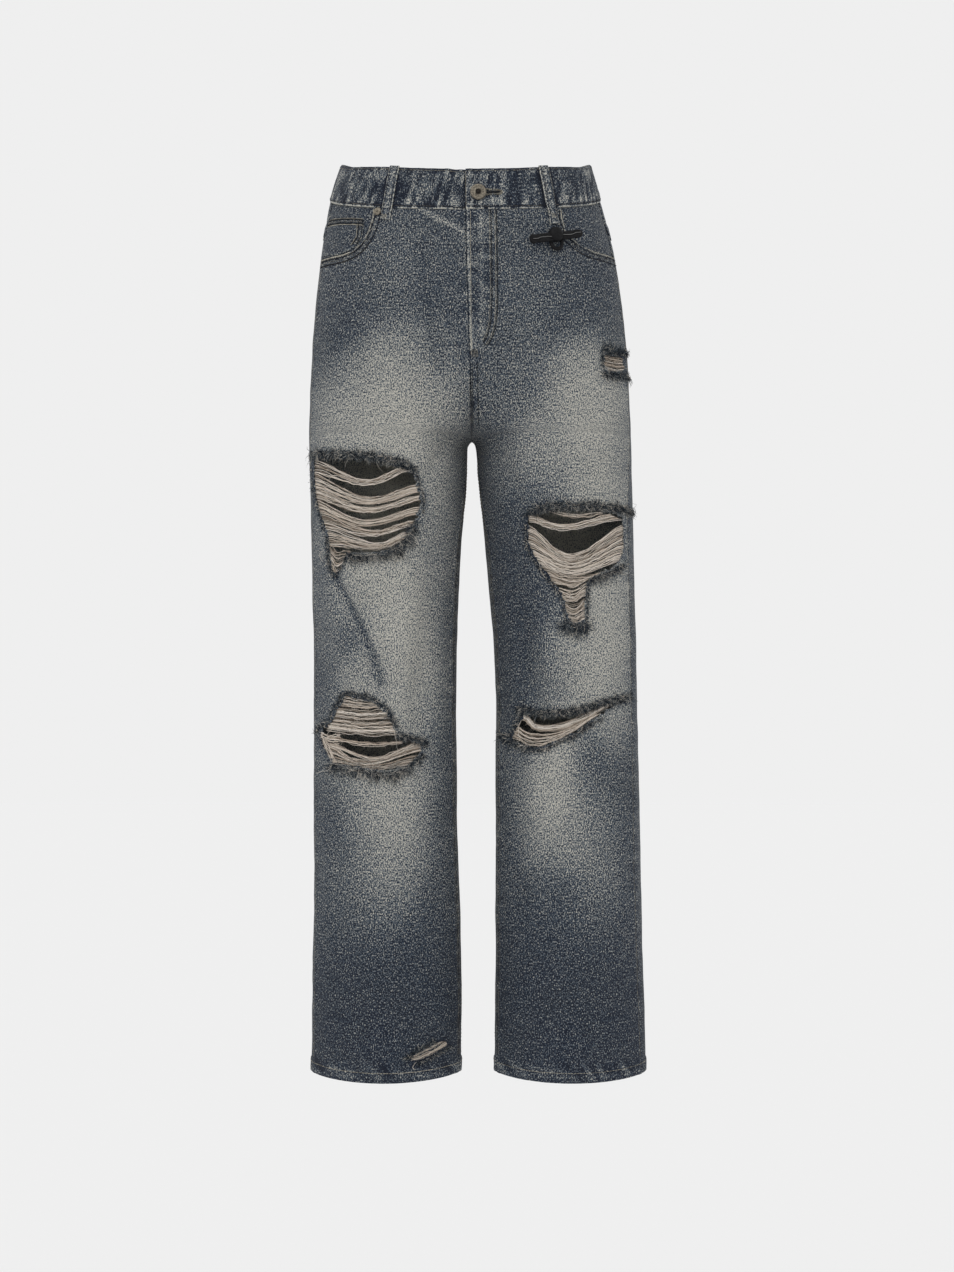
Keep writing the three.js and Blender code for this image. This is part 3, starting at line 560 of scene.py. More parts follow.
# One quarter's grid: rows of z, and for each row columns spaced along the cloth from seam to seam.
def quarter(side, back, z_rows, pitch):
    z = np.asarray(z_rows, float)[:, None]
    start = size_at(IN_SEAM, z)
    end = size_at(side["out_seam"], z)
    if back:
        start, end = end, 360 + start
    fine = np.linspace(0, 1, ARC_STEPS)[None, :]
    turns = start + (end - start) * fine
    points = surface(side, turns, z)
    arc = np.concatenate([np.zeros((len(z), 1)),
                          np.cumsum(np.linalg.norm(np.diff(points, axis=1), axis=-1), 1)], 1)
    margin, total = NEAR_SEAM[-1], arc[:, -1:]
    count = int(round((np.median(total) - 2 * margin) / pitch))
    middle = margin + (total - 2 * margin) * np.linspace(0, 1, count + 1)[None, 1:-1]
    s = np.concatenate([np.repeat(NEAR_SEAM[None], len(z), 0), middle, total - NEAR_SEAM[None, ::-1]], 1)
    at = np.stack([np.interp(s[k], arc[k], turns[k]) for k in range(len(z))])
    base = surface(side, at, z)
    normals = normal_at(side, at, z)
    mid = base[:, base.shape[1] // 2]
    v = np.concatenate([[0], np.cumsum(np.linalg.norm(np.diff(mid, axis=0), axis=1))])[:, None]
    cloth = np.stack([s - total / 2, np.repeat(v, s.shape[1], 1), np.zeros_like(s)], -1)
    a, b = (total - s, s) if back else (s, total - s)
    return {"base": base, "normals": normals, "cloth": cloth, "a": a, "b": b, "z": z + 0 * s,
            "side": side, "back": back}


CUT_REACH = 1.5  # points this near to an outline move onto it


# Moves grid points near an outline onto it, and says which faces lie inside it.
def cut(points, outline, ragged=0.0, seed=0):
    def jag_at(x, z):
        return ragged * (noise(x / 2.2, z / 2.2, 70 + seed) + 0.6 * noise(x / 6, z / 6, 71 + seed))

    x, z = points[..., 0], points[..., 2]
    jag, step = jag_at(x, z), 0.3
    d = line_distance(outline, x, z) + jag
    gx = (line_distance(outline, x + step, z) + jag - d) / step
    gz = (line_distance(outline, x, z + step) + jag - d) / step
    size = np.maximum(np.hypot(gx, gz), 0.3)
    near = np.abs(d) < CUT_REACH
    step_x, step_z = np.where(near, -d * gx / size ** 2, 0), np.where(near, -d * gz / size ** 2, 0)
    pu, pv = np.gradient(points, axis=1), np.gradient(points, axis=0)
    det = pu[..., 0] * pv[..., 2] - pu[..., 2] * pv[..., 0]
    det = np.where(np.abs(det) < 0.4, np.inf, det)
    ku = np.clip((step_x * pv[..., 2] - step_z * pv[..., 0]) / det, -0.6, 0.6)
    kv = np.clip((step_z * pu[..., 0] - step_x * pu[..., 2]) / det, -0.6, 0.6)
    moved = points + ku[..., None] * pu + kv[..., None] * pv
    centre = (moved[:-1, :-1] + moved[:-1, 1:] + moved[1:, 1:] + moved[1:, :-1]) / 4
    cx, cz = centre[..., 0], centre[..., 2]
    return moved - points, line_distance(outline, cx, cz) + jag_at(cx, cz) < 0


# The faces of rings of points, one ring to a row. Closed joins the last ring to the first.
def ring_faces(points, closed=False):
    index = np.arange(points.shape[0] * points.shape[1]).reshape(points.shape[:2])
    a, b = (index, np.roll(index, -1, 0)) if closed else (index[:-1], index[1:])
    return np.stack([a, np.roll(a, -1, 1), np.roll(b, -1, 1), b], -1).reshape(-1, 4)


# Open tubes along paths of the same number of points, joined into one mesh.
class Tubes:
    def __init__(self):
        self.points, self.faces, self.tints, self.count = [], [], [], 0

    def add(self, paths, radius, tint, sides=3, taper=0.0):
        paths = np.asarray(paths, float)
        if paths.size == 0:
            return
        m, n = paths.shape[:2]
        radius = np.broadcast_to(np.asarray(radius, float).reshape(-1, 1), (m, 1)) * np.ones((m, n))
        if taper:
            radius = radius * (1 - taper * np.linspace(0, 1, n)[None] ** 2)
        tangent = unit(np.gradient(paths, axis=1))
        up = np.where(np.abs(tangent[..., 2:]) < 0.8, [[[0, 0, 1.0]]], [[[1.0, 0, 0]]])
        e1 = unit(np.cross(tangent, up[:, :1] + 0 * tangent))
        e2 = np.cross(tangent, e1)
        angles = np.arange(sides) * 2 * math.pi / sides
        ring = (np.cos(angles)[:, None] * e1[..., None, :] + np.sin(angles)[:, None] * e2[..., None, :])
        points = paths[:, :, None] + ring * radius[..., None, None]
        index = self.count + np.arange(m * n * sides).reshape(m, n, sides)
        a, b = index[:, :-1], index[:, 1:]
        self.faces.append(np.stack([a, np.roll(a, -1, 2), np.roll(b, -1, 2), b], -1).reshape(-1, 4))
        self.points.append(points.reshape(-1, 3))
        tint = np.broadcast_to(np.asarray(tint, float).reshape(-1, 1), (m, n * sides))
        self.tints.append(tint.ravel())
        self.count += m * n * sides

    def build(self, name, material, slot):
        faces, points = np.concatenate(self.faces), np.concatenate(self.points)
        obj = new_object(name, points, faces, [material], None, {"tint": np.concatenate(self.tints)})
        return obj


# ---- Materials -----------------------------------------------------------------------------------


def linear(r, g, b, gain=1.0):
    out = [c / 255 for c in (r, g, b)]
    out = [c / 12.92 if c <= 0.04045 else ((c + 0.055) / 1.055) ** 2.4 for c in out]
    return (*[min(1.0, c * gain) for c in out], 1.0)


class Nodes:
    def __init__(self, name):
        self.material = bpy.data.materials.new(name)
        self.material.use_nodes = True
        self.tree = self.material.node_tree
        self.tree.nodes.clear()
        self.shader = self.tree.nodes.new("ShaderNodeBsdfPrincipled")
        out = self.tree.nodes.new("ShaderNodeOutputMaterial")
        self.tree.links.new(self.shader.outputs[0], out.inputs[0])
        MATERIALS[name] = self.material

    def link(self, value, socket):
        if isinstance(value, (int, float, tuple)):
            socket.default_value = value
        else:
            self.tree.links.new(value, socket)

    def attribute(self, name, kind="Fac"):
        node = self.tree.nodes.new("ShaderNodeAttribute")
        node.attribute_name = name
        return node.outputs[kind]

    def math(self, operation, a, b, c=None, clamp=False):
        node = self.tree.nodes.new("ShaderNodeMath")
        node.operation = operation
        node.use_clamp = clamp
        self.link(a, node.inputs[0])
        self.link(b, node.inputs[1])
        if c is not None:
            self.link(c, node.inputs[2])
        return node.outputs[0]

    def scaled(self, vector, x, y, z=1.0):
        node = self.tree.nodes.new("ShaderNodeVectorMath")
        node.operation = "MULTIPLY"
        self.link(vector, node.inputs[0])
        node.inputs[1].default_value = (x, y, z)
        return node.outputs[0]

    def noise(self, vector, scale, detail=2.0, roughness=0.5):
        node = self.tree.nodes.new("ShaderNodeTexNoise")
        self.link(vector, node.inputs["Vector"])
        node.inputs["Scale"].default_value = scale
        node.inputs["Detail"].default_value = detail
        node.inputs["Roughness"].default_value = roughness
        return node.outputs["Fac"]

    # Noise mostly lies from 0.25 to 0.75, and that gives -amount to amount.
    def around(self, value, amount):
        return self.math("MULTIPLY", self.math("SUBTRACT", value, 0.5), amount / 0.25)

    def ramp(self, value, stops):
        node = self.tree.nodes.new("ShaderNodeValToRGB")
        elements = node.color_ramp.elements
        while len(elements) > 1:
            elements.remove(elements[-1])
        for k, (at, color) in enumerate(stops):
            element = elements[0] if k == 0 else elements.new(at)
            element.position = at
            element.color = color
        self.link(value, node.inputs[0])
        return node.outputs[0]

    def blend(self, share, a, b):
        node = self.tree.nodes.new("ShaderNodeMix")
        node.data_type = "RGBA"
        self.link(share, node.inputs[0])
        self.link(a, node.inputs[6])
        self.link(b, node.inputs[7])
        return node.outputs[2]

    def bump(self, height, strength, distance):
        node = self.tree.nodes.new("ShaderNodeBump")
        node.inputs["Strength"].default_value = strength
        node.inputs["Distance"].default_value = distance
        self.link(height, node.inputs["Height"])
        self.tree.links.new(node.outputs[0], self.shader.inputs["Normal"])

    def finish(self, color, roughness, specular, metallic=0.0):
        self.link(color, self.shader.inputs["Base Color"])
        self.link(roughness, self.shader.inputs["Roughness"])
        self.shader.inputs["Specular IOR Level"].default_value = specular
        self.shader.inputs["Metallic"].default_value = metallic


GAIN = 0.9  # brings a colour under this light to its own value

# From unworn to palest. A tone is the fade and the wear, painted shade included, with noise from the grain down
# to streaks.
DENIM_TONES = [(0.0, (17, 24, 39)), (0.2, (44, 56, 72)), (0.42, (78, 89, 100)), (0.66, (118, 122, 124)),
               (0.86, (154, 153, 147)), (1.0, (188, 185, 175))]


def stops_of(tones, gain=1.0):
    return [(at, linear(*color, gain)) for at, color in tones]


# Cloth coloured by its fade and wear, painted shade included, with grain, cross threads, patches and streaks.
def denim(name, shift=0.0, wear_and_shade=1.0, grain_gain=1.0):
    n = Nodes(name)
    cloth = n.attribute("cloth", "Vector")
    grain = n.noise(n.scaled(cloth, 800, 500), 1.0, 2.0, 0.7)
    cross = n.noise(n.scaled(cloth, 700, 130), 1.0, 2.0, 0.6)
    patches = n.noise(n.scaled(cloth, 75, 45), 1.0, 3.0, 0.6)
    streaks = n.noise(n.scaled(cloth, 330, 18), 1.0, 2.0, 0.5)
    tone = n.math("MULTIPLY_ADD", n.attribute("fade_and_shade"), 0.71, 0.185 + shift)
    wear_and_painted_light = n.math("MULTIPLY", n.attribute("wear_and_shade"), 0.62 * wear_and_shade)
    tone = n.math("ADD", tone, wear_and_painted_light)
    tone = n.math("ADD", tone, n.around(grain, 1.3 * grain_gain))
    tone = n.math("ADD", tone, n.around(cross, 0.28 * grain_gain))
    tone = n.math("ADD", tone, n.around(patches, 0.06))
    tone = n.math("ADD", tone, n.around(streaks, 0.03), clamp=True)
    color = n.ramp(tone, stops_of(DENIM_TONES, GAIN))
    warm = n.math("MULTIPLY", n.noise(cloth, 17, 2.0, 0.5), 0.14)
    color = n.blend(warm, color, n.blend(0.5, color, linear(116, 112, 92, GAIN)))
    twill = n.tree.nodes.new("ShaderNodeTexWave")
    twill.bands_direction = "DIAGONAL"
    n.link(n.scaled(cloth, 1000, 1000), twill.inputs["Vector"])
    twill.inputs["Scale"].default_value = 0.593
    height = n.math("ADD", n.math("MULTIPLY", twill.outputs["Fac"], 0.35), n.math("MULTIPLY", grain, 0.9))
    n.bump(height, 0.35, 0.0004)
    n.finish(color, n.math("MULTIPLY_ADD", grain, 0.1, 0.85), 0.12)
    n.shader.inputs["Sheen Weight"].default_value = 0.06


def threads(name, tones, rough=0.9):
    n = Nodes(name)
    at = n.tree.nodes.new("ShaderNodeTexCoord").outputs["Object"]
    fine = n.noise(at, 900, 2.0, 0.6)
    broad = n.noise(at, 60, 2.0, 0.5)
    value = n.math("ADD", n.attribute("tint"), n.around(fine, 0.12))
    value = n.math("ADD", value, n.around(broad, 0.06), clamp=True)
    n.bump(fine, 0.5, 0.0002)
    n.finish(n.ramp(value, stops_of(tones, GAIN)), rough, 0.15)


def hard(name, dark, light, metallic, rough, scale, specular=0.5):
    n = Nodes(name)
    fine = n.noise(n.tree.nodes.new("ShaderNodeTexCoord").outputs["Object"], scale, 4.0, 0.65)
    n.bump(fine, 0.35, 0.0004)
    color = n.ramp(fine, stops_of([(0.3, dark), (0.7, light)]))
    n.finish(color, n.math("MULTIPLY_ADD", fine, 0.3, rough), specular, metallic)


denim("denim")
denim("denim_band", shift=0.03, wear_and_shade=1.5)
denim("denim_facing", shift=-0.05)
denim("denim_inside", shift=0.42, wear_and_shade=0.2, grain_gain=0.7)
denim("denim_edge", shift=0.12, wear_and_shade=0.2)
threads("yarn", [(0.0, (104, 92, 80)), (0.3, (170, 156, 142)), (0.6, (216, 203, 188)),
                 (1.0, (240, 232, 222))])
threads("fray", [(0.0, (24, 29, 37)), (0.35, (54, 62, 71)), (0.6, (104, 112, 117)),
                 (0.8, (150, 151, 148)), (1.0, (222, 213, 200))])
threads("thread", [(0.0, (22, 25, 30)), (0.5, (128, 124, 114)), (1.0, (206, 198, 180))])
# Grey for the pale lines along the ornament's groove: a painted highlight.
threads("groove_highlight", [(0.0, (84, 84, 84)), (1.0, (150, 150, 148))], 0.5)
hard("aged_metal", (58, 54, 48), (150, 142, 128), 0.9, 0.32, 700)
hard("dark_metal", (20, 19, 18), (52, 48, 44), 0.8, 0.35, 900)
hard("black", (9, 9, 10), (24, 24, 26), 0.0, 0.34, 420, 0.12)


# ---- Panels --------------------------------------------------------------------------------------


HEM_ROWS_Z = -1036  # finer rows below


# Rows over the centre seam's curve, the pitch of the other rows, and the pitch of the columns.
FRONT_GRID, BACK_GRID, YOKE_GRID, PATCH_PITCH = (42, 3.0, 3.05), (36, 5.2, 5.0), (36, 5.2, 3.4), 2.0
YOKE_END_Z, BACK_START_Z = -128, -74  # rows of each that reach past the seam between them

# The inside and outside of each sewn layer, over the form of the panels.
FACING_LAYER, COIN_LAYER, POCKET_LAYER = (-2.9, -1.7), (-1.6, -0.35), (0.2, 1.5)


def down_to(start, stop, step):
    return np.linspace(start, stop, max(2, int(round((start - stop) / step)) + 1))[:-1]


def z_rows(rise_height, count, pitch):
    turned = CROTCH_Z + rise_height * (1 - np.cos(np.radians(90) * np.linspace(1, 0, count)))
    return np.concatenate([
        down_to(BAND_FOOT_Z, CROTCH_Z + rise_height, pitch), turned[:-1],
        [CROTCH_Z, -321.6, -322.6, -324, -326, -328.5],  # close rows where the legs part
        down_to(-331, HEM_ROWS_Z, pitch), down_to(HEM_ROWS_Z, HEM_Z, 1.4), [HEM_Z]])


def panel_fields(q):
    x, z = q["base"][..., 0], q["base"][..., 2]
    lift = relief(q["side"], x, z, q["a"], q["b"], q["back"])
    wear_and_shade = seam_wear_and_shade(q["side"], x, z, q["a"], q["b"], q["back"])
    return lift, fade_and_shade_at(x, z, q["back"]), wear_and_shade


# The two sides of a panel. The inside follows its folds less, and the hem is turned up.
def both_sides(q, lift):
    outer = q["base"] + q["normals"] * lift[..., None]
    inside = 0.7 * lift - WALL - 1.6 * hem_at(q["z"])
    return outer, q["base"] + q["normals"] * inside[..., None]


def make_front(side):
    count, row_pitch, pitch = FRONT_GRID
    q = quarter(side, False, z_rows(FRONT_RISE, count, row_pitch), pitch)
    lift, fade_and_shade, wear_and_shade = panel_fields(q)
    outer, inner = both_sides(q, lift)
    keep = all_faces(outer)
    name = side["name"]
    mouth = [tuple(p) for p in rounded(MOUTHS[name])] + [(side["sign"] * 230, 20)]
    holes = [(mouth, 0.0, 0)]
    for k, (rip, outline) in enumerate(RIPS.items()):
        if rip.startswith(name):
            ring = rounded(outline + outline[:1], 1)[:-1]
            holes.append((ring, 0.4 if "hem" in rip else 0.9, k))
    for outline, ragged, seed in holes:
        delta, gone = cut(outer, outline, ragged, seed)
        outer, inner, keep = outer + delta, inner + delta, keep & ~gone
    nodes = ["front_" + name] + (["fly"] if name == "left" else [])
    sheet_object(nodes, outer, inner, keep, side["sign"] > 0, fade_and_shade, wear_and_shade, q["cloth"])


def make_back(side):
    outline = [(-260, yoke_z(260)), (0, yoke_z(0)), (260, yoke_z(260)), (260, 90), (-260, 90)]
    for part in ("yoke", "back"):
        count, row_pitch, pitch = YOKE_GRID if part == "yoke" else BACK_GRID
        rows = z_rows(BACK_RISE, count, row_pitch)
        own = rows > YOKE_END_Z if part == "yoke" else rows < BACK_START_Z
        q = quarter(side, True, rows[own], pitch)
        x, z = q["base"][..., 0], q["base"][..., 2]
        lift, fade_and_shade, wear_and_shade = panel_fields(q)
        line = z - yoke_z(x)
        if part == "yoke":
            lift = lift + 1.0 * smooth((13 - line) / 2) - 0.35 * bell(line - 14, 2)
            top = np.clip((-43 - z) / 18, 0, 1)
            lift = lift + 0.7 * noise(x / 5, 3, 61) * (1 - top) ** 2
            wear_and_shade = wear_and_shade + 0.35 * bell(line - 1, 2)
        else:
            lift = lift - 0.9 * bell(line, 5)
            wear_and_shade = wear_and_shade - 0.3 * bell(line, 2.5)
        outer, inner = both_sides(q, lift)
        delta, above = cut(outer, outline)
        keep = above if part == "yoke" else ~above
        sheet_object([part + "_" + side["name"]], outer + delta, inner + delta, keep,
                     side["sign"] > 0, fade_and_shade, wear_and_shade, q["cloth"])


# A layer that lies over or under a quarter, inside an outline.
def make_patch(node, side, back, outline, rows, layer, outside, fade_and_shade_gain, edge_wear, pucker):
    q = quarter(side, back, rows, PATCH_PITCH)
    low, high = layer
    x, z = q["base"][..., 0], q["base"][..., 2]
    d = -line_distance(outline, x, z)
    lift = relief(side, x, z, q["a"], q["b"], back) if back else body_relief(x, z)
    bumps = pucker * noise(x / 4.2 + z / 6, z / 4.8, 81) * bell(d - 3, 5)
    outer = q["base"] + q["normals"] * (lift + high + bumps - 0.35 * bell(d, 1.2))[..., None]
    inner = q["base"] + q["normals"] * (lift + low)[..., None]
    wear_and_shade = edge_wear * bell(d - 0.8, 1.5) + 0.5 * bumps - 0.1 * bell(d - 5, 2)
    delta, inside = cut(outer, outline)
    sheet_object([node], outer + delta, inner + delta, inside, side["sign"] > 0,
                 fade_and_shade_at(x, z, back) * fade_and_shade_gain, wear_and_shade, q["cloth"], outside)


FACINGS = {
    "right": [(-95, 20), (-96, -75), (-101, -92), (-108, -110), (-124, -127), (-150, -132), (-230, -124),
              (-230, 20)],
    "left": [(89, 20), (90, -75), (95, -93), (104, -112), (122, -123), (148, -128), (230, -123), (230, 20)],
}

for side in (RIGHT, LEFT):
    name = side["name"]
    make_front(side)
    make_back(side)
    make_patch("pocket_facing_" + name, side, False, FACINGS[name],
               np.linspace(BAND_FOOT_Z, -140, 50), FACING_LAYER, "denim_facing", 0.3, 0.0, 0.0)
    pocket = [(side["sign"] * x, z) for x, z in BACK_POCKET]
    make_patch("back_pocket_" + name, side, True, pocket,
               np.linspace(-96, -300, 102), POCKET_LAYER, "denim", 0.9, 0.4, 0.5)
make_patch("coin_pocket", RIGHT, False, COIN,
           np.linspace(-45, -112, 60), COIN_LAYER, "denim_facing", 0.3, 0.35, 0.45)

# ---- Waistband -----------------------------------------------------------------------------------

BAND_WALL, BAND_OUT = 3.2, 1.0  # its thickness, and how far its outside stands over the panels' form
LAP_DROP = -3.8  # how far its end under the buttonhole lies below the other
LOOP_END = 56.5  # down from the waist

# The belt loops: x of the middle at the top and at the foot, and whether it is at the back.
LOOPS = [
    ("belt_loop_front_right", -84, -95, False), ("belt_loop_front_left", 82, 95, False),
    ("belt_loop_back_right", -100, -104, True), ("belt_loop_back_left", 96, 100, True),
    ("belt_loop_centre_back", -5, -4.5, True),
]


def make_waistband():
    stops = [(LEFT, t, LAP_DROP) for t in np.linspace(56, 3, 40)]
    stops += [(RIGHT, t, LAP_DROP) for t in np.linspace(3, 30, 16)]
    stops += [(RIGHT, t, LAP_DROP * (1 - smooth((t - 30) / 16))) for t in np.linspace(31, 359.5, 200)]
    stops += [(LEFT, t, 0.0) for t in np.linspace(360, 2, 200)]
    low_rows = -BAND + np.array([0, 0.5, 1.1, 1.8, 2.6, 3.4])
    z = np.concatenate([low_rows, np.linspace(-BAND + 4.6, -1.6, 24), [-0.8, 0]])[:, None]
    turns = np.array([[t for _, t, _ in stops]], float)
    is_left = np.array([side is LEFT for side, _, _ in stops])[None, :, None]
    base = np.where(is_left, surface(LEFT, turns, z), surface(RIGHT, turns, z))
    normals = np.where(is_left, normal_at(LEFT, turns, z), normal_at(RIGHT, turns, z))
    drop = np.array([[d for _, _, d in stops]])
    s = np.concatenate([[0], np.cumsum(np.linalg.norm(np.diff(base[10], axis=0), axis=1))])[None]
    up = z + BAND
    low = bell(up - 6, 8)
    pucker = 0.6 * noise(s / 5 + z / 22, z / 11, 91)
    pucker = pucker + 0.55 * noise(s / 3.4 + z / 20, 2, 92) * (0.35 + 0.65 * low)
    edges = np.minimum(up, -z)
    round_off = -1.1 * np.exp(-edges / 0.9)
    lift = BAND_OUT + drop + round_off + pucker + 0.55 * bell(up - 9, 3) * noise(s / 6, 3, 93)
    total = s[0, -1]
    ends = np.minimum(s, total - s)
    lift = lift - 0.5 * bell(ends, 1.2) + 0.35 * smooth((7 - ends) / 2)
    outside = base + normals * lift[..., None]
    inside = base + normals * (BAND_OUT - BAND_WALL + drop - round_off * 0.8)[..., None]
    wear_and_shade = 0.78 * pucker + 0.5 * noise(s / 3.2, z / 6, 94) * bell(up - 6, 6)
    wear_and_shade = wear_and_shade + 0.3 * noise(s / 2.6, z / 5, 96) * bell(z + 6, 5)
    wear_and_shade = wear_and_shade + 0.22 * bell(up - 7, 5) + 0.14 * bell(z + 7, 5) - 0.55 * np.exp(z / 0.9)
    # The dark line just over the band's pale foot is a painted shadow.
    wear_and_shade = wear_and_shade + 0.6 * bell(ends, 1.3) + 0.95 * bell(up - 0.5, 1.0) - 0.6 * bell(up - 2.6, 0.9) - 0.12
    # Dark lines beside each belt loop: painted shadow of the loops on the band.
    for _, top_x, foot_x, back in LOOPS:
        beside = np.abs(base[..., 0] - mix(top_x, foot_x, -z / LOOP_END)) - 6.8
        wear_and_shade = wear_and_shade - 0.55 * bell(beside, 1.7) * ((base[..., 1] > 0) == back)
    fade_and_shade = -0.03 + 0.12 * noise(s / 40, 1, 95) + 0 * z
    cloth = np.stack([s + 0 * z, z + 0 * s, 0 * s + 0 * z], -1)
    sheet_object(["waistband"], outside, inside, all_faces(outside), True,
                 fade_and_shade, wear_and_shade, cloth, "denim_band")


make_waistband()


# ---- Belt loops and hardware ---------------------------------------------------------------------

LOOP_WALL = 1.8


def make_loop(name, top_x, foot_x, back):
    pulled = name == "belt_loop_front_left"  # by the ornament that hangs from it
    foot = -BAND - (20.5 if pulled else 14.5)
    profile = np.array([(1.2, 1.5), (0.3, 2.6), (-3, 3.1), (-14, 3.4), (-30, 3.3), (-40, 3.0), (-45, 2.3),
                        (-50, 1.9), (foot, 1.8)])
    z = np.linspace(1.2, foot, 48)
    lift = np.interp(-z, -profile[:, 0], profile[:, 1]) + 0.25 * noise(z / 6, 7, 101)
    pinch = 1 - 0.28 * bell(z + 50, 9) * pulled
    across = np.array([-5.4, -5.2, -4.7, -4.0, -2.8, -1.4, 0, 1.4, 2.8, 4.0, 4.7, 5.2, 5.4])
    crown = np.array([-1.1, -0.5, 0.0, 0.35, 0.1, -0.05, -0.1, -0.05, 0.1, 0.35, 0.0, -0.5, -1.1])
    x = mix(top_x, foot_x, np.clip(z / foot, 0, 1))[:, None] + across[None] * pinch[:, None]
    z, lift, across, crown = z[:, None], lift[:, None], across[None], crown[None]
    flat = np.minimum(z, -0.2) + 0 * x
    base, normals = place(x, flat + waist_tilt(place(x, flat, back)[0][..., 1], flat), back)
    rough_lift = lift + crown + 0.18 * noise(z / 2.6, across / 3, 102)
    outer = base + normals * (rough_lift + LOOP_WALL / 2)[..., None]
    inner = base + normals * (lift + 0 * crown - LOOP_WALL / 2)[..., None]
    for points in (outer, inner):
        points[..., 2] += np.maximum(0, z)
    wear_and_shade = 0.75 * bell(np.abs(across) - 5.2, 0.7) - 0.42 * bell(np.abs(across) - 4.0, 0.7)
    wear_and_shade = wear_and_shade + (0.35 * noise(z / 3, across / 2.2, 103) + 0.14) * bell(across, 2.6)
    wear_and_shade = wear_and_shade + 0.3 * bell(z - foot, 1.5) + 0.2 * bell(z, 4)
    sheet_object([name], outer, inner, all_faces(x), not back,
                 0.12 + 0 * x, wear_and_shade + 0 * x, np.stack([x, flat, 0 * x], -1), "denim_band")


for loop in LOOPS:
    make_loop(*loop)


# A frame on the front cloth: the point, and directions across, up and out.
def frame_on(x, z, tilt=0.0):
    point, normal = place(x, z)
    out = normal / np.linalg.norm(normal)
    up = np.array([0, 0, 1.0]) - out * out[2]
    up /= np.linalg.norm(up)
    across = np.cross(up, out)
    c, s = math.cos(math.radians(tilt)), math.sin(math.radians(tilt))
    return point, across * c + up * s, up * c - across * s, out


# A turned piece: (radius, height) rows round the axis out of the cloth.
def turned_rows(profile, place_at, lift, segments, wobble=0.0):
    point, across, up, out = place_at
    c, s = round_of(segments)
    r, h = np.array(profile, float).T[..., None]
    h = h + wobble * noise(c * 3 + r, s * 3, 111)
    ring = c[:, None] * across + s[:, None] * up
    pts = point + ring[None] * r[..., None] + out * (h + lift)[..., None]
    return pts.reshape(-1, 3), ring_faces(pts)


def round_of(segments):
    angle = np.linspace(0, 2 * math.pi, segments, endpoint=False)
    return np.cos(angle), np.sin(angle)


# A power of a value that keeps its sign.
def signed(value, power):
    return np.sign(value) * np.abs(value) ** power


# One mesh of parts, each with points and faces. Node is what it replaces, if anything.
def hard_object(name, parts, material, node=None, sharp=40):
    points, faces, count = [], [], 0
    for part_points, part_faces in parts:
        points.append(part_points)
        faces.append(part_faces + count)
        count += len(part_points)
    obj = new_object(name, np.concatenate(points), np.concatenate(faces), [material])
    obj.data.set_sharp_from_angle(angle=math.radians(sharp))
    if node:
        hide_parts(node)


BUTTON, BUTTON_LIFT = (9.3, -54), 1.6  # its place on the front, and its foot over the cloth's form
RIVET, RIVET_LIFT = (-103.6, -72.5), 1.3

button_at = frame_on(*BUTTON)
rim = [(0.05, 0), (6, 0), (8.1, 0.5), (8.9, 1.4), (9.2, 2.2), (9.0, 3.0), (8.3, 3.6), (7.4, 3.8),
       (6.6, 3.7), (6.0, 3.3), (5.7, 3.0), (5.2, 2.9), (4.6, 3.1), (4.1, 3.4), (3.6, 3.5), (3.2, 3.2), (3.0, 2.7)]
metal = "aged_metal"
button = turned_rows(rim, button_at, BUTTON_LIFT, 48, 0.12)
hard_object("button_metal", [button], metal, "button")
cup = [(3.15, 2.9), (2.8, 2.3), (1.9, 2.1), (1.5, 2.3), (1.1, 3.1), (0.6, 3.5), (0.05, 3.6)]
hard_object("button_centre", [turned_rows(cup, button_at, BUTTON_LIFT, 32)], "dark_metal")
rivet_rows = [(0.05, 0), (3.6, 0), (4.4, 0.5), (4.4, 1.0), (3.7, 1.5), (2.6, 1.6), (1.9, 1.4), (1.5, 1.5),
              (1.2, 2.2), (0.7, 2.5), (0.05, 2.6)]
rivet = turned_rows(rivet_rows, frame_on(*RIVET), RIVET_LIFT, 28, 0.06)
hard_object("rivet_right_metal", [rivet], metal, "rivet_right")

# The ornament: a bar with round ends and a waved groove, a boss over its middle, and a ring, with pale lines
# along the groove that are a painted highlight.
BAR_X, BAR_Z, BAR_TILT = 94, -79, 10.5
BAR_HALF, BAR_DEPTH, BAR_LIFT = 5.2, 2.9, 8.4
BAR_END, BAR_ROUND = 28.4, 4.6  # where its round ends start, and their length
WAVE = 3.2  # the groove's
BOSS_UP, BOSS_LIFT = 2.2, 8.0
GROOVE_HIGHLIGHT_LIFT = 11.2  # of the painted highlight lines along the groove
RING_WIDE, RING_TALL, RING_DOWN, RING_LIFT = 6.6, 8.6, 5.0, 5.4


def ornament_bar(point, across, up, out):
    u = np.linspace(-33, 33, 100)[:, None]
    rounding = (np.maximum(np.abs(u) - BAR_END, 0) / BAR_ROUND) ** 2
    half = BAR_HALF * np.sqrt(np.clip(1 - rounding, 0, 1)) + 0.02
    half = half * (0.94 - u / 400) * (1 + 0.08 * noise(u / 5, 1, 121) + 0.06 * noise(u / 2, 1, 122))
    c, s = round_of(28)
    groove = 1.3 * bell(c - 0.3 * np.sin(u / WAVE), 0.2) * (s > 0) * (half / BAR_HALF)
    lumps = 0.3 * noise(u / 2.4, c * 3 + 5, 123) * (s > 0)
    h = BAR_LIFT + BAR_DEPTH * (half / BAR_HALF) ** 0.5 * signed(s, 0.75) - groove + lumps
    points = point + across * u[..., None] + up * (half * signed(c, 0.8))[..., None] + out * h[..., None]
    return points.reshape(-1, 3), np.roll(ring_faces(points)[:, ::-1], 1, 1)


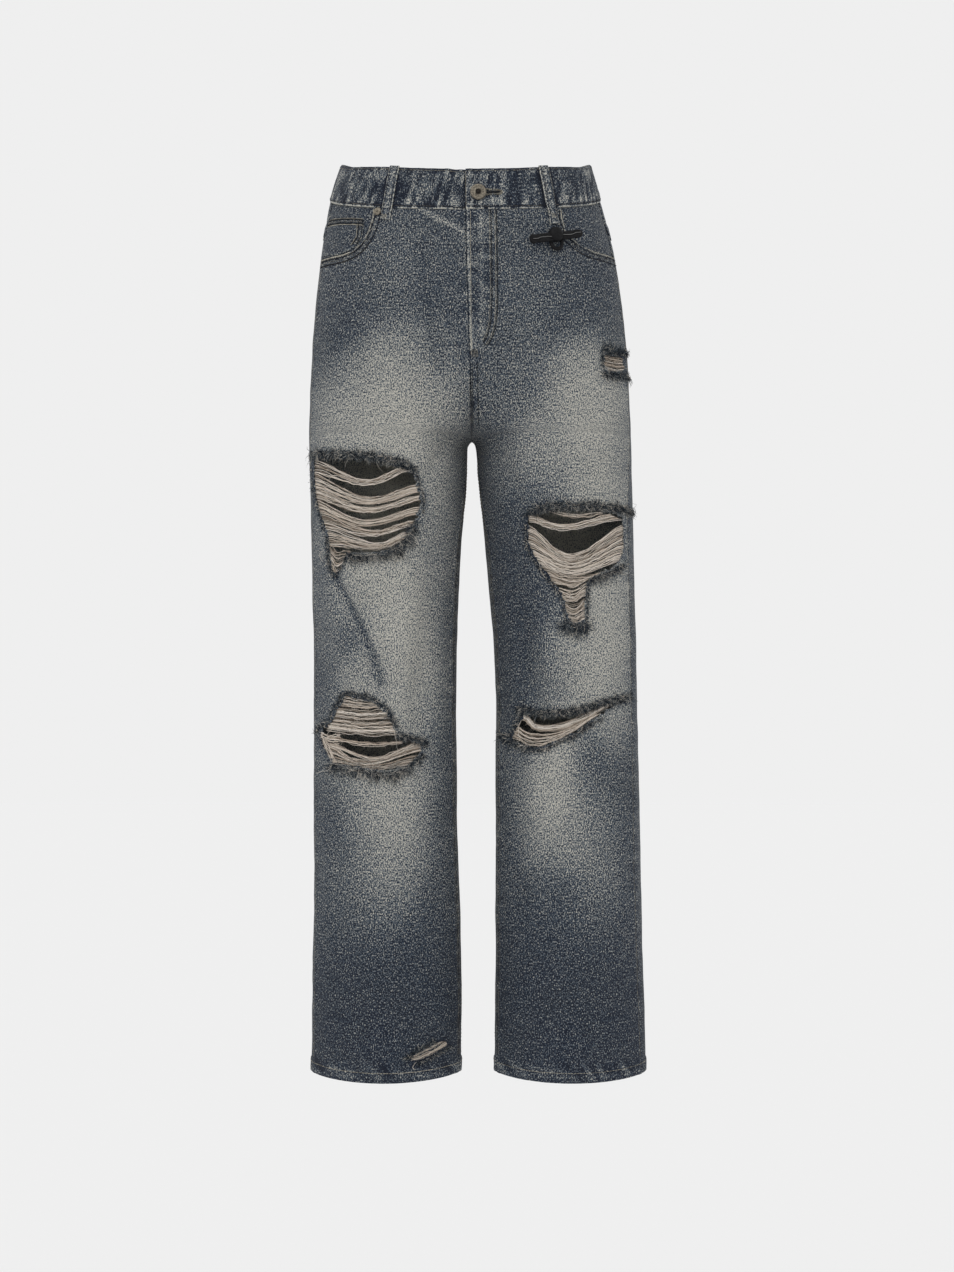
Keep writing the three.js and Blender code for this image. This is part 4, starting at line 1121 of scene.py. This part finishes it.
def ornament_ring(point, across, up, out):
    c, s = round_of(64)
    centre = point - up * RING_DOWN + out * RING_LIFT
    ring = point + across * (RING_WIDE * signed(c, 0.8))[:, None]
    ring = ring + up * (RING_TALL * s - RING_DOWN)[:, None] + out * RING_LIFT
    turn = np.linspace(0, 2 * math.pi, 64, endpoint=False)
    size = (2.2 + 0.15 * noise(turn * 2.5, 1, 131))[:, None, None]
    c, s = (wave[None, :, None] for wave in round_of(12))
    points = ring[:, None] + size * (c * unit(ring - centre)[:, None] + 0.85 * s * out)
    return points.reshape(-1, 3), ring_faces(points, True)


band_tilt = float(waist_tilt(place(97, -94)[0][1], np.array(-69.0)))
ornament_at = frame_on(BAR_X, BAR_Z + band_tilt, BAR_TILT)
point, across, up, out = ornament_at
boss = [(0.05, 6.3), (2.6, 6.2), (4.8, 5.8), (6.6, 4.9), (7.9, 3.4), (8.6, 1.6), (8.8, -0.6), (8.3, -2.4)]
boss_at = point + up * BOSS_UP, across, up, out
bar_parts = [ornament_bar(*ornament_at), turned_rows(boss, boss_at, BOSS_LIFT, 36, 0.25)]
hard_object("ornament_bar_cast", bar_parts, "black", "ornament_bar", 50)
# Pale tubes along the groove: a painted highlight on the black bar.
for end, start, stop in (("left", -30, -7), ("right", 7, 30)):
    u = np.linspace(start, stop, 24)
    v = 0.5 * np.sin(u / WAVE) + 0.4 * noise(u / 3, 2, 125)
    wear_and_painted_light = Tubes()
    wear_and_painted_light.add([point + across * u[:, None] + up * v[:, None] + out * GROOVE_HIGHLIGHT_LIFT], 0.42, 0.2, 6)
    wear_and_painted_light.build("ornament_groove_highlight_" + end, "groove_highlight", "black_metal")
ring = ornament_ring(*ornament_at)
hard_object("ornament_ring_cast", [ring], "black", "ornament_ring", 60)

# ---- Yarns across the rips -----------------------------------------------------------------------
# Each band of yarns: its top line, its bottom line, and how many yarns lie between them.

BANDS = {
    "right_thigh": [
        ([(-181, -346), (-119, -375), (-76, -360)], [(-182, -362), (-119, -381), (-70, -365)], 20),
        ([(-182, -362), (-117, -394), (-61, -380)], [(-182, -380), (-117, -403), (-57, -388)], 28),
        ([(-181, -380), (-117, -406), (-56, -391)], [(-179, -394), (-117, -413), (-55, -398)], 22),
        ([(-179, -392), (-120, -420), (-57, -404)], [(-172, -410), (-119, -428), (-60, -414)], 24),
        ([(-172, -408), (-112, -432), (-64, -420)], [(-166, -426), (-112, -439), (-67, -427)], 22),
        ([(-165, -425), (-107, -446), (-72, -433)], [(-161, -449), (-107, -454), (-80, -446)], 28),
        ([(-162, -446), (-152, -456), (-137, -454)], [(-156, -479), (-153, -483), (-149, -477)], 34),
    ],
    "left_thigh": [
        ([(86, -407), (119, -414), (148, -410)], [(87, -411), (119, -418), (150, -413)], 10),
        ([(67, -414), (107, -425), (156, -412)], [(69, -422), (107, -432), (172, -418)], 20),
        ([(68, -426), (114, -459), (173, -424)], [(68, -440), (115, -466), (174, -434)], 26),
        ([(68, -440), (115, -467), (174, -436)], [(67, -456), (117, -474), (174, -450)], 28),
        ([(69, -456), (117, -475), (174, -452)], [(82, -473), (117, -484), (171, -466)], 28),
        ([(84, -474), (116, -485), (152, -478)], [(97, -492), (116, -496), (134, -487)], 22),
        ([(99, -495), (116.5, -499), (132, -490)], [(105, -510), (117, -514), (129, -506)], 24),
        ([(106, -512), (118, -517), (129, -509)], [(110, -537), (119, -538), (129, -534)], 40),
    ],
    "right_knee": [
        ([(-142, -619), (-131, -621), (-121, -623)], [(-148, -631), (-122, -634), (-100, -633)], 24),
        ([(-150, -633), (-122, -636), (-98, -634)], [(-154, -645), (-121, -648), (-89, -646)], 24),
        ([(-155, -646), (-120, -650), (-88, -648)], [(-164, -660), (-120, -663), (-84, -663)], 28),
        ([(-162, -666), (-115, -672.5), (-78, -670.5)], [(-162, -669), (-115, -676), (-80, -673)], 10),
        ([(-160, -673), (-106, -688), (-60, -670.5)], [(-158, -677), (-106, -692), (-58, -674)], 12),
        ([(-162, -674), (-125, -692), (-57, -675)], [(-158, -686), (-115, -697), (-57, -682)], 20),
        ([(-157, -688), (-110, -697), (-62, -686)], [(-156, -698), (-108, -703), (-72, -698)], 22),
        ([(-172, -664), (-162, -678), (-154, -695)], [(-170, -668), (-166, -682), (-158, -698)], 12),
        ([(-173, -660), (-162, -664), (-150, -661)], [(-173, -668), (-164, -672), (-154, -675)], 14),
    ],
    "left_knee": [
        ([(64, -640), (76, -652), (104, -650.5), (134, -638), (160, -627)],
         [(60, -646), (75, -658), (104, -658), (134, -645), (154, -633)], 26),
        ([(55, -655), (66, -662), (90, -663), (116, -655), (142, -641)],
         [(50, -668), (68, -677), (88, -673), (112, -662), (146, -640)], 32),
        ([(60, -645), (56, -652), (56, -662)], [(56, -647), (52, -654), (52, -664)], 8),
    ],
    "left_hip": [([(152, -231), (165, -233), (179, -231)], [(153, -248), (166, -250), (180, -246)], 34)],
    "right_hem": [
        ([(-69, -1031), (-50, -1022), (-31, -1014)], [(-62, -1037), (-45, -1032), (-24, -1023)], 20),
    ],
}


YARN_STEPS = 22  # points along a yarn
YARN_SHARE = 0.72  # of the counts above
FUZZ_PER_YARN = 2.6
FRAY_STEPS = 4
FRAY_GAIN = 1.35  # on the densities below
LOOSE_STEPS = 26
SIDE_GAP = 0.3  # what lies on the front stays this far inside its outline


# A smooth curve through every point, sampled evenly in its own steps.
def through(points, count):
    pts = np.array(points, float)
    pts = np.concatenate([[2 * pts[0] - pts[1]], pts, [2 * pts[-1] - pts[-2]]])
    at = np.linspace(0, len(pts) - 3 - 1e-9, count)
    k, t = at.astype(int), (at % 1)[:, None]
    p0, p1, p2, p3 = pts[k], pts[k + 1], pts[k + 2], pts[k + 3]
    return 0.5 * (2 * p1 + (p2 - p0) * t + (2 * p0 - 5 * p1 + 4 * p2 - p3) * t ** 2
                  + (3 * p1 - p0 - 3 * p2 + p3) * t ** 3)


def keep_in(x, z):
    return np.clip(x, size_at(RIGHT["outer"], z) + SIDE_GAP, size_at(LEFT["outer"], z) - SIDE_GAP)


# Paths over the front cloth from x, z and lift arrays of one shape.
def over_cloth(x, z, lift):
    return place(keep_in(x, z), z, False, lift)[0]


def yarns(name, bands, seed):
    rng = np.random.default_rng(seed)
    tubes = Tubes()
    along = np.linspace(0, 1, YARN_STEPS)
    edge = np.clip(np.minimum(along, 1 - along) * 6, 0, 1)
    for top, bottom, count in bands:
        count = max(4, int(count * YARN_SHARE))
        upper, lower = through(top, YARN_STEPS), through(bottom, YARN_STEPS)
        share = np.sort(np.clip((np.arange(count) + 0.5 + rng.normal(0, 0.55, count)) / count, 0, 1))
        clump = share + 0.05 * np.sin(share * count * 0.9 + rng.uniform(0, 6))
        at = mix(share[:, None], clump[:, None], edge[None])
        curve = upper[None] + (lower - upper)[None] * at[..., None]
        ends = unit(curve[:, -1] - curve[:, 0])
        reach = rng.uniform(1.0, 4.0, (count, 2))
        curve[:, 0] -= ends * reach[:, :1]
        curve[:, -1] += ends * reach[:, 1:]
        wave = rng.uniform(0, 100, (count, 1))
        s = along * np.linalg.norm(curve[:, -1] - curve[:, 0], axis=-1)[:, None]
        kink = noise(s / 4.4 + wave, wave + 3, seed)
        z = curve[..., 1] + (0.75 * noise(s / 11 + wave, wave, seed) + 1.15 * kink) * edge
        x = curve[..., 0] + 0.3 * noise(s / 5 + wave, wave + 9, seed)
        lift = rng.uniform(-2.4, 0.6, (count, 1)) * edge + 0.9 * noise(s / 5 + wave, wave + 5, seed) * edge
        lift = lift - 0.9 * (1 - edge) - 0.4
        # Yarns that lie deep are tinted darker: painted shade.
        deep = lift[:, YARN_STEPS // 2] < -1.7
        radius = np.clip(rng.normal(0.42, 0.11, count), 0.2, 0.66)
        tint = np.clip(rng.normal(0.74, 0.24, count) - 0.35 * deep, 0, 1)
        tubes.add(over_cloth(x, z, lift), radius, tint)
        # Broken strands and fuzz standing off the yarns.
        m = int(count * FUZZ_PER_YARN)
        at = rng.integers(0, count, (m, 1)), rng.integers(2, YARN_STEPS - 5, (m, 1))
        k = np.arange(4)[None]
        fx = x[at] + k * rng.normal(0, 1.1, (m, 1))
        fz = z[at] + k * rng.normal(-0.35, 0.8, (m, 1)) - 0.1 * k ** 2
        fl = lift[at] + k * rng.uniform(0.1, 0.6, (m, 1))
        tubes.add(over_cloth(fx, fz, fl), 0.11, 0.75, 3, 0.5)
    obj = tubes.build("yarns_" + name, "yarn", "yarn")
    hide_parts("rip_yarns_" + name)
    return obj


YARNS = {name: yarns(name, bands, 200 + k) for k, (name, bands) in enumerate(BANDS.items())}

# ---- Frayed edges --------------------------------------------------------------------------------
# Line along the edge, direction the fibres point (x, z), length, how far off the line they start,
# fibres per mm, and how many are pale.

FRINGES = {
    "right_thigh": [
        ([(-184, -342), (-160, -343), (-134, -346), (-116, -348), (-94, -352), (-76, -356), (-62, -363)],
         (0, -0.4), 5.5, (-7, 5), 11, 0.5),
        ([(-62, -363), (-56, -385), (-52, -398), (-55, -412)], (0.6, -0.8), 2.6, (-1.2, 1.5), 2.4, 0.6),
        ([(-140, -457), (-116, -459), (-88, -455), (-78, -450)], (0, -1), 9, (-1, 4), 6, 0.7),
        ([(-92, -455), (-74, -445), (-66, -430), (-62, -420)], (0.35, -1), 9, (-1.5, 3), 5, 0.45),
        ([(-162, -440), (-162, -470), (-153, -485), (-145, -471), (-138, -457)],
         (0.1, -1), 3, (-1.2, 1.4), 3, 0.5),
        ([(-184, -345), (-183, -372), (-171, -416), (-163, -440)],
         (-0.8, -0.4), 2.0, (-0.8, 1.0), 1.8, 0.6),
    ],
    "left_thigh": [
        ([(72, -410), (86, -405), (119, -405), (143, -403), (170, -405), (190, -408)],
         (0.1, -0.3), 5.5, (-7, 5), 11, 0.55),
        ([(62, -414), (72, -408), (90, -404)], (0, -0.6), 4.5, (-4, 3), 5, 0.3),
        ([(134, -486), (156, -480), (174, -468)], (0.35, -1), 8, (-1, 4), 4.5, 0.6),
        ([(64, -424), (63, -450), (77, -471), (95, -495), (105, -512), (109, -534)],
         (-0.4, -0.9), 2.6, (-1, 1.4), 2.2, 0.6),
        ([(152, -480), (134, -486), (133, -498), (132, -521), (131, -534)],
         (0.6, -0.8), 3, (-1.2, 1.6), 3, 0.4),
        ([(106, -537), (118, -539), (132, -537)], (0.1, -1), 10, (-2, 2.5), 11, 0.3),
    ],
    "right_knee": [
        ([(-150, -627), (-144, -616), (-121, -620), (-103, -627), (-90, -640), (-85, -655)],
         (0.2, 0.6), 4.0, (-2, 3), 6, 0.35),
        ([(-178, -666), (-174, -657), (-160, -649), (-156, -637), (-149, -627)],
         (-0.5, 0.6), 3.6, (-1.5, 2), 4, 0.5),
        ([(-84, -662), (-72, -666), (-62, -668), (-50, -675)], (0.2, -0.2), 4.5, (-4, 4), 10, 0.45),
        ([(-160, -696), (-135, -700), (-112, -704), (-88, -705), (-71, -699)],
         (0.05, -1), 9, (-1, 5), 6, 0.66),
        ([(-74, -700), (-62, -692), (-54, -684)], (0.5, -0.9), 6, (-1, 3), 5, 0.5),
    ],
    "left_knee": [
        ([(54, -634), (73, -638), (95, -638), (122, -635), (135, -631), (160, -624), (186, -620)],
         (0, -0.35), 5, (-5, 4), 11, 0.55),
        ([(60, -640), (52, -656), (45, -666)], (-0.7, 0.2), 3, (-1.2, 1.5), 3, 0.5),
        ([(36, -665), (46, -670), (56, -675), (73, -680)], (-0.4, -0.5), 5, (-3, 3), 9, 0.42),
        ([(73, -680), (86, -678), (102, -669), (120, -662), (137, -649), (150, -643)],
         (0.2, -1), 4.5, (-1, 2.5), 4, 0.5),
    ],
    "left_hip": [
        ([(151, -226), (164, -228), (181, -226)], (0.1, 0.2), 5.5, (-3.5, 4), 14, 0.24),
        ([(153, -252), (168, -252), (184, -250)], (0.1, -0.6), 5.5, (-2.5, 3.5), 14, 0.26),
        ([(151, -230), (151, -246)], (-0.9, 0), 2.5, (-1, 1), 5, 0.4),
    ],
    "right_hem": [
        ([(-74, -1036), (-57, -1025), (-40, -1017)], (-0.4, 0.6), 3.5, (-1.5, 2), 8, 0.25),
        ([(-62, -1040), (-42, -1033), (-22, -1024)], (0.2, -0.9), 2.5, (-1, 1.5), 5, 0.42),
    ],
}
LOOSE = {
    "right_thigh": [[(-166, -452), (-170, -458), (-167, -466)], [(-70, -434), (-62, -440), (-58, -450)]],
    "left_thigh": [[(79, -468), (81, -478), (87, -487)], [(131, -527), (137, -531), (144, -529)]],
    "right_knee": [[(-170, -664), (-163, -680), (-157, -697), (-160, -704), (-168, -706), (-174, -709)],
                   [(-86, -655), (-84.5, -668), (-82.5, -680)], [(-163, -664), (-157, -658), (-157, -650)]],
    "left_knee": [[(126, -644), (127, -655), (122, -661)], [(46, -665), (38, -664), (31, -665)],
                  [(66, -676), (64, -681), (61, -683)]],
    "left_hip": [[(180, -249), (186, -254), (184, -259)]],
    "right_hem": [[(-62, -1038), (-66, -1043), (-64, -1047)]],
}


def fray(name, fringes, seed):
    rng = np.random.default_rng(seed)
    tubes = Tubes()
    k = np.linspace(0, 1, FRAY_STEPS)[None]
    for line, direction, length, off, density, pale in fringes:
        pts = along_line(rounded(line), 0.5)
        total = np.linalg.norm(np.diff(pts, axis=0), axis=1).sum()
        count = int(total * density * FRAY_GAIN)
        at = rng.uniform(0, len(pts) - 1.001, count)
        i, t = at.astype(int), (at % 1)[:, None]
        start = pts[i] * (1 - t) + pts[i + 1] * t
        across = unit(pts[i + 1] - pts[i])
        normal = np.stack([-across[:, 1], across[:, 0]], -1)
        normal *= np.where((normal * np.array(direction)).sum(1) >= 0, -1, 1)[:, None]
        depth = rng.uniform(off[0], off[1], count)
        start = start + normal * depth[:, None] * -0.6
        spread = 1.25 - 0.55 * math.hypot(*direction)
        angle = math.atan2(direction[1], direction[0]) + rng.normal(0, spread, count)
        curl = rng.normal(0, 1.5, count)
        reach = length * rng.gamma(4, 0.25, count)
        turn = angle[:, None] + curl[:, None] * k
        step = reach[:, None] / (FRAY_STEPS - 1)
        x = start[:, :1] + np.cumsum(np.cos(turn) * step, 1) - np.cos(turn[:, :1]) * step
        z = start[:, 1:] + np.cumsum(np.sin(turn) * step, 1) - np.sin(turn[:, :1]) * step
        top = rng.gamma(2.0, 0.8, count)[:, None]
        lift = 0.1 + top * np.sin(k * rng.uniform(1.2, 3.0, (count, 1)))
        shade = rng.random(count)
        tint = np.where(shade < 0.52, rng.uniform(0.0, 0.3, count), rng.uniform(0.3, 0.68, count))
        tint = np.where(shade > 1 - pale * 0.5, rng.uniform(0.72, 1.0, count), tint)
        radius = rng.uniform(0.15, 0.3, count)
        tubes.add(over_cloth(x, z, np.maximum(lift, 0.05)), radius, tint, 3, 0.45)
    for line in LOOSE[name]:
        at = np.arange(LOOSE_STEPS) / 2.2
        jitter = np.stack([noise(at, seed, 5), noise(at, seed, 6)], -1)
        pts = through(line, LOOSE_STEPS) + 0.5 * jitter
        lift = 1.2 + 1.6 * np.sin(np.linspace(0.1, 2.9, LOOSE_STEPS))
        tubes.add(over_cloth(pts[None, :, 0], pts[None, :, 1], lift[None]), 0.24, 0.97)
    return tubes.build("fray_" + name, "fray", "denim")


FRAYS = {name: fray(name, fringes, 300 + k) for k, (name, fringes) in enumerate(FRINGES.items())}

# ---- Stitching -----------------------------------------------------------------------------------

SEWN = {}
RAY_START, RAY_LENGTH = 9, 16  # where the ray that finds the cloth starts, and how far it goes


# Stitches along a line of points, each pulled onto the nearest of the named sheets from outside.
def sew(group, points, normals, nodes, length=2.8, gap=0.7, radius=0.36, tint=0.6, seed=0):
    rng = np.random.default_rng(seed + 400)
    tubes = SEWN.setdefault(group, Tubes())
    steps = np.linalg.norm(np.diff(points, axis=0), axis=1)
    s = np.concatenate([[0], np.cumsum(steps)])
    starts = np.arange(0.5, s[-1] - length, length + gap)
    ts = starts[:, None] + rng.uniform(-0.2, 0.2, (len(starts), 1)) + length * np.array([[0, 0.5, 1.0]])
    at = np.stack([np.interp(ts, s, points[:, k]) for k in range(3)], -1)
    out = unit(np.stack([np.interp(ts, s, normals[:, k]) for k in range(3)], -1))
    paths = []
    for k in range(len(starts)):
        row = []
        for point, away, lift in zip(at[k], out[k], (-0.12, 0.22, -0.12)):
            origin = Vector(point + away * RAY_START)
            hits = [BVHS[node + "_cloth"].ray_cast(origin, Vector(-away), RAY_LENGTH) for node in nodes]
            hits = [hit for hit in hits if hit[0] is not None]
            if not hits:
                break
            row.append(np.array(min(hits, key=lambda hit: hit[3])[0]) + away * lift)
        if len(row) == 3:
            paths.append(row)
    if paths:
        a, b, c = np.array(paths).swapaxes(0, 1)
        arched = np.stack([a, a * 0.35 + b * 0.65, b, c * 0.35 + b * 0.65, c], 1)
        tubes.add(arched, radius, np.clip(rng.normal(tint, 0.13, len(paths)), 0, 1))


def offset_line(points, distance):
    pts = np.array(points, float)
    d = unit(np.gradient(pts, axis=0))
    return pts + np.stack([-d[:, 1], d[:, 0]], -1) * distance


# A row of stitches over the front or back, given by x and z where it is seen.
def sew_flat(group, line, nodes, back=False, **rest):
    x, z = along_line(line, 2.0).T
    sew(group, *place(keep_in(x, z), z, back), nodes, **rest)


# A row of stitches over the garment's plain form, given by turn and z.
def sew_round(group, side, turns, z, nodes, **rest):
    sew(group, surface(side, turns, z), normal_at(side, turns, z), nodes, **rest)


# The turns that keep their distance from the inner or outer seam of a quarter.
def seam_turns(side, back, z, distance, outer_seam):
    edge = size_at(side["out_seam"], z) if outer_seam else size_at(IN_SEAM, z)
    if back and not outer_seam:
        edge = 360 + edge
    sign = 1 if back == outer_seam else -1
    step = np.linalg.norm(surface(side, edge + sign * 3.0, z) - surface(side, edge, z), axis=-1) / 3.0
    return edge + sign * distance / step


# Rows beside an edge: distance from it, tint, stitch length, gap and radius. The first is the edge's
# own pale fold. DARK is the tint of a row that lies in its own shade.
DARK = -0.1
HEM_STITCH_Z = -1045.5
LEG_END_Z = -1040  # foot of the rows down the legs
LEG_STITCH = {"length": 3.4, "gap": 0.9}
MOUTH_ROWS = [(0.5, 0.85, 5.0, 0.0, 0.5), (2.6, DARK, 2.8, 0.1, 0.85), (5.4, 0.5, 0.8, 1.5, 0.5),
              (8.5, DARK, 2.8, 0.1, 0.85)]
COIN_ROWS = [(0.7, 0.5, 5.0, 0.0, 0.4), (2.0, DARK, 2.8, 0.1, 0.75), (4.2, 0.5, 0.8, 1.5, 0.5),
             (6.6, DARK, 2.8, 0.1, 0.75), (8.2, 0.7, 5.0, 0.0, 0.35)]
# Rows down the legs: whether on the back, and by the outer seam, distance from it, top, points, tint
# and seed.
LEG_ROWS = [(True, False, 2.0, -345, 240, 0.3, 3), (True, False, 8.6, -345, 240, 0.3, 3),
            (False, False, 2.2, -345, 240, 0.34, 4), (False, True, 2.6, -124, 300, 0.36, 5)]

for side in (RIGHT, LEFT):
    name, sign = side["name"], side["sign"]
    front, back, yoke, pocket_node = (kind + name for kind in ("front_", "back_", "yoke_", "back_pocket_"))
    outline = MOUTHS[name]
    end = outline[-2][0] * 0.1 + outline[-1][0] * 0.9, outline[-1][1]
    mouth = rounded(outline[:-1] + [end])
    mouth = mouth[mouth[:, 1] < -66]
    for d, tint, length, gap, radius in MOUTH_ROWS:
        row = {"tint": tint, "seed": int(d), "length": length, "gap": gap, "radius": radius}
        sew_flat("front", offset_line(mouth, -sign * d), [front], **row)
    for on_back, outer_seam, d, top, count, tint, seed in LEG_ROWS:
        z = np.linspace(top, LEG_END_Z, count)
        turns = seam_turns(side, on_back, z, d, outer_seam)
        cloth = back if on_back else front
        sew_round("legs", side, turns, z, [cloth], tint=tint, seed=seed, **LEG_STITCH)
    turns = np.linspace(0, 360, 220) + 16
    sew_round("hems", side, turns, HEM_STITCH_Z, [front, back], tint=0.66, seed=6)
    x = np.linspace(3, 158, 60) * sign
    for d in (2.4, 8.4):
        sew_flat("back", np.stack([x, yoke_z(x) + d], -1), [back, yoke], True, tint=0.6, seed=8)
    pocket = np.array([(sign * px, pz) for px, pz in BACK_POCKET + BACK_POCKET[:1]])
    middle = pocket[:-1].mean(0)
    for d in (2.2, 8.2):
        ring = pocket + (middle - pocket) * (d * 1.3 / np.linalg.norm(middle - pocket, axis=1))[:, None]
        sew_flat("back", ring[1:], [pocket_node], True, tint=0.6, seed=9)
    sew_flat("back", [(sign * 30, -134), (sign * 136, -129)], [pocket_node], True, tint=0.6, seed=10)
for d in (2.2, 8.0):
    z = np.linspace(-100, -300, 90)
    line = np.stack([size_at(CENTRE_X, z) + d, z], -1)
    sew_flat("back", line, ["back_left", "yoke_left"], True, tint=0.55, seed=11)
    z = np.linspace(-246, -312, 40)
    line = np.stack([size_at(CENTRE_X, z) + d, z], -1)
    sew_flat("front", line, ["front_left"], tint=DARK, radius=0.65, seed=12)
fly_edge = [(0.5, -54), (0.8, -120), (1.2, -180), (1.6, -238)]
sew_flat("front", fly_edge, ["front_left"], tint=0.74, gap=0.2, seed=13)
fly = rounded(FLY_LINE)
for d, tint, radius in ((1.2, DARK, 0.8), (-0.8, 0.62, 0.42), (-5.0, DARK, 0.8), (-6.9, 0.5, 0.4)):
    line = offset_line(fly, d)[:-3]
    sew_flat("front", line, ["front_left"], tint=tint, gap=0.2, radius=radius, seed=14)
for k in range(5):
    line = [(1.5 + k * 1.7, -231), (2.2 + k * 1.7, -240)]
    sew_flat("front", line, ["front_left"], length=2, gap=0.1, tint=0.5, seed=k)
for d, tint, length, gap, radius in COIN_ROWS:
    row = {"tint": tint, "length": length, "gap": gap, "radius": radius}
    sew_flat("front", [(-121, -78 - d), (-168, -69.4 - d)], ["coin_pocket"], seed=16, **row)
    line = [(-119.5 - d, -80), (-121 - d, -99), (-127.5 - d, -108)]
    sew_flat("front", line, ["coin_pocket"], seed=17, **row)

for side, turns in ((RIGHT, np.linspace(4, 359, 300)), (LEFT, np.linspace(359, 3, 300))):
    # The lower row's dark tint is a painted shadow along the band's foot.
    for z, tint in ((-39.2, 0.08), (-2.6, 0.3)):
        sew_round("waistband", side, turns, z, ["waistband"], tint=tint, seed=18)
sew_round("waistband", LEFT, 4.5, np.linspace(-3, -39, 20), ["waistband"], tint=0.7, seed=19)

for name, top_x, foot_x, back in LOOPS:
    z = np.linspace(-1, -55, 40)
    x = mix(top_x, foot_x, -z / LOOP_END)
    lift = waist_tilt(place(x, z, back)[0][:, 1], z)
    for d in (-3.9, 3.9):
        sew_flat("loops", np.stack([x + d, z + lift], -1), [name], back, tint=0.14, seed=20)
    for k in range(4):
        bar_z = -51.5 - k * 1.1 + lift[-1]
        line = [(foot_x - 4.4, bar_z), (foot_x + 4.4, bar_z)]
        sew_flat("loops", line, [name], back, length=2.2, gap=0.1, tint=0.62, seed=21 + k)

# The buttonhole: a slit in a ring of close stitches, round at the button's end.
HOLE_X, HOLE_Z, HOLE_HALF = 25.5, -53.2, 9.0
hole = Tubes()
c, s = (wave[:, None] for wave in round_of(66))
x = HOLE_X + HOLE_HALF * signed(c, 0.7)
z = HOLE_Z + np.where(c < -0.35, 2.7, 1.6) * signed(s, 0.7)
reach = np.array([0, 1.1, 1.9])
ring = place(x + reach * c, z + reach * s, False, np.array([1.7, 2.5, 1.8]))[0]
hole.add(ring, 0.42, np.random.default_rng(7).uniform(0.3, 0.62, len(ring)))
# A dark tube along the slit: painted shade in its gap.
slit = place(np.linspace(18, 33.4, 8), np.full(8, HOLE_Z), False, np.full(8, 1.45))[0]
hole.add(slit[None], 1.1, 0.0, 6)
SEWN["buttonhole"] = hole

for group, tubes in SEWN.items():
    tubes.build("stitching_" + group, "thread", "yarn")

# ---- Stage, light and camera ---------------------------------------------------------------------

BACKDROP, FLOOR = 0.863, 0.83  # their greys
FLOOR_Z, FLOOR_HALF = -3.2, 30

scene = bpy.context.scene
scene.view_settings.view_transform = "Standard"
world = bpy.data.worlds.new("world")
scene.world = world
world.use_nodes = True
background = world.node_tree.nodes["Background"]
background.inputs[0].default_value = (*[BACKDROP] * 3, 1)
background.inputs[1].default_value = 1.0

floor_mesh = bpy.data.meshes.new("floor")
corners = [(x * FLOOR_HALF, y * FLOOR_HALF, FLOOR_Z) for x, y in ((-1, -1), (1, -1), (1, 1), (-1, 1))]
floor_mesh.from_pydata(corners, [], [(0, 1, 2, 3)])
floor = bpy.data.objects.new("floor", floor_mesh)
scene.collection.objects.link(floor)
stage_material = bpy.data.materials.new("stage")
stage_material.use_nodes = True
paint = stage_material.node_tree.nodes["Principled BSDF"]
paint.inputs["Base Color"].default_value = (*[FLOOR] * 3, 1)
paint.inputs["Roughness"].default_value = 1.0
paint.inputs["Specular IOR Level"].default_value = 0.0
floor_mesh.materials.append(stage_material)

# Each sun's strength, spread in degrees, and the direction it comes from.
SUNS = {"key": (0.75, 50, (-0.5, -1.0, 0.9)), "fill": (0.35, 90, (0.9, -1.0, 0.2))}
for name, (energy, angle, spot) in SUNS.items():
    data = bpy.data.lights.new(name, "SUN")
    data.energy = energy
    data.angle = math.radians(angle)
    lamp = bpy.data.objects.new(name, data)
    lamp.rotation_euler = Vector(spot).to_track_quat("Z", "Y").to_euler()
    scene.collection.objects.link(lamp)

camera_data = bpy.data.cameras.new("camera")
camera_data.lens = 58.06
camera_data.sensor_width = 36
camera_data.clip_end = 100
camera = bpy.data.objects.new("camera", camera_data)
camera.location = (0.008, -2.4, -0.551)
camera.rotation_euler = (math.radians(90), 0, 0)
scene.collection.objects.link(camera)
scene.camera = camera
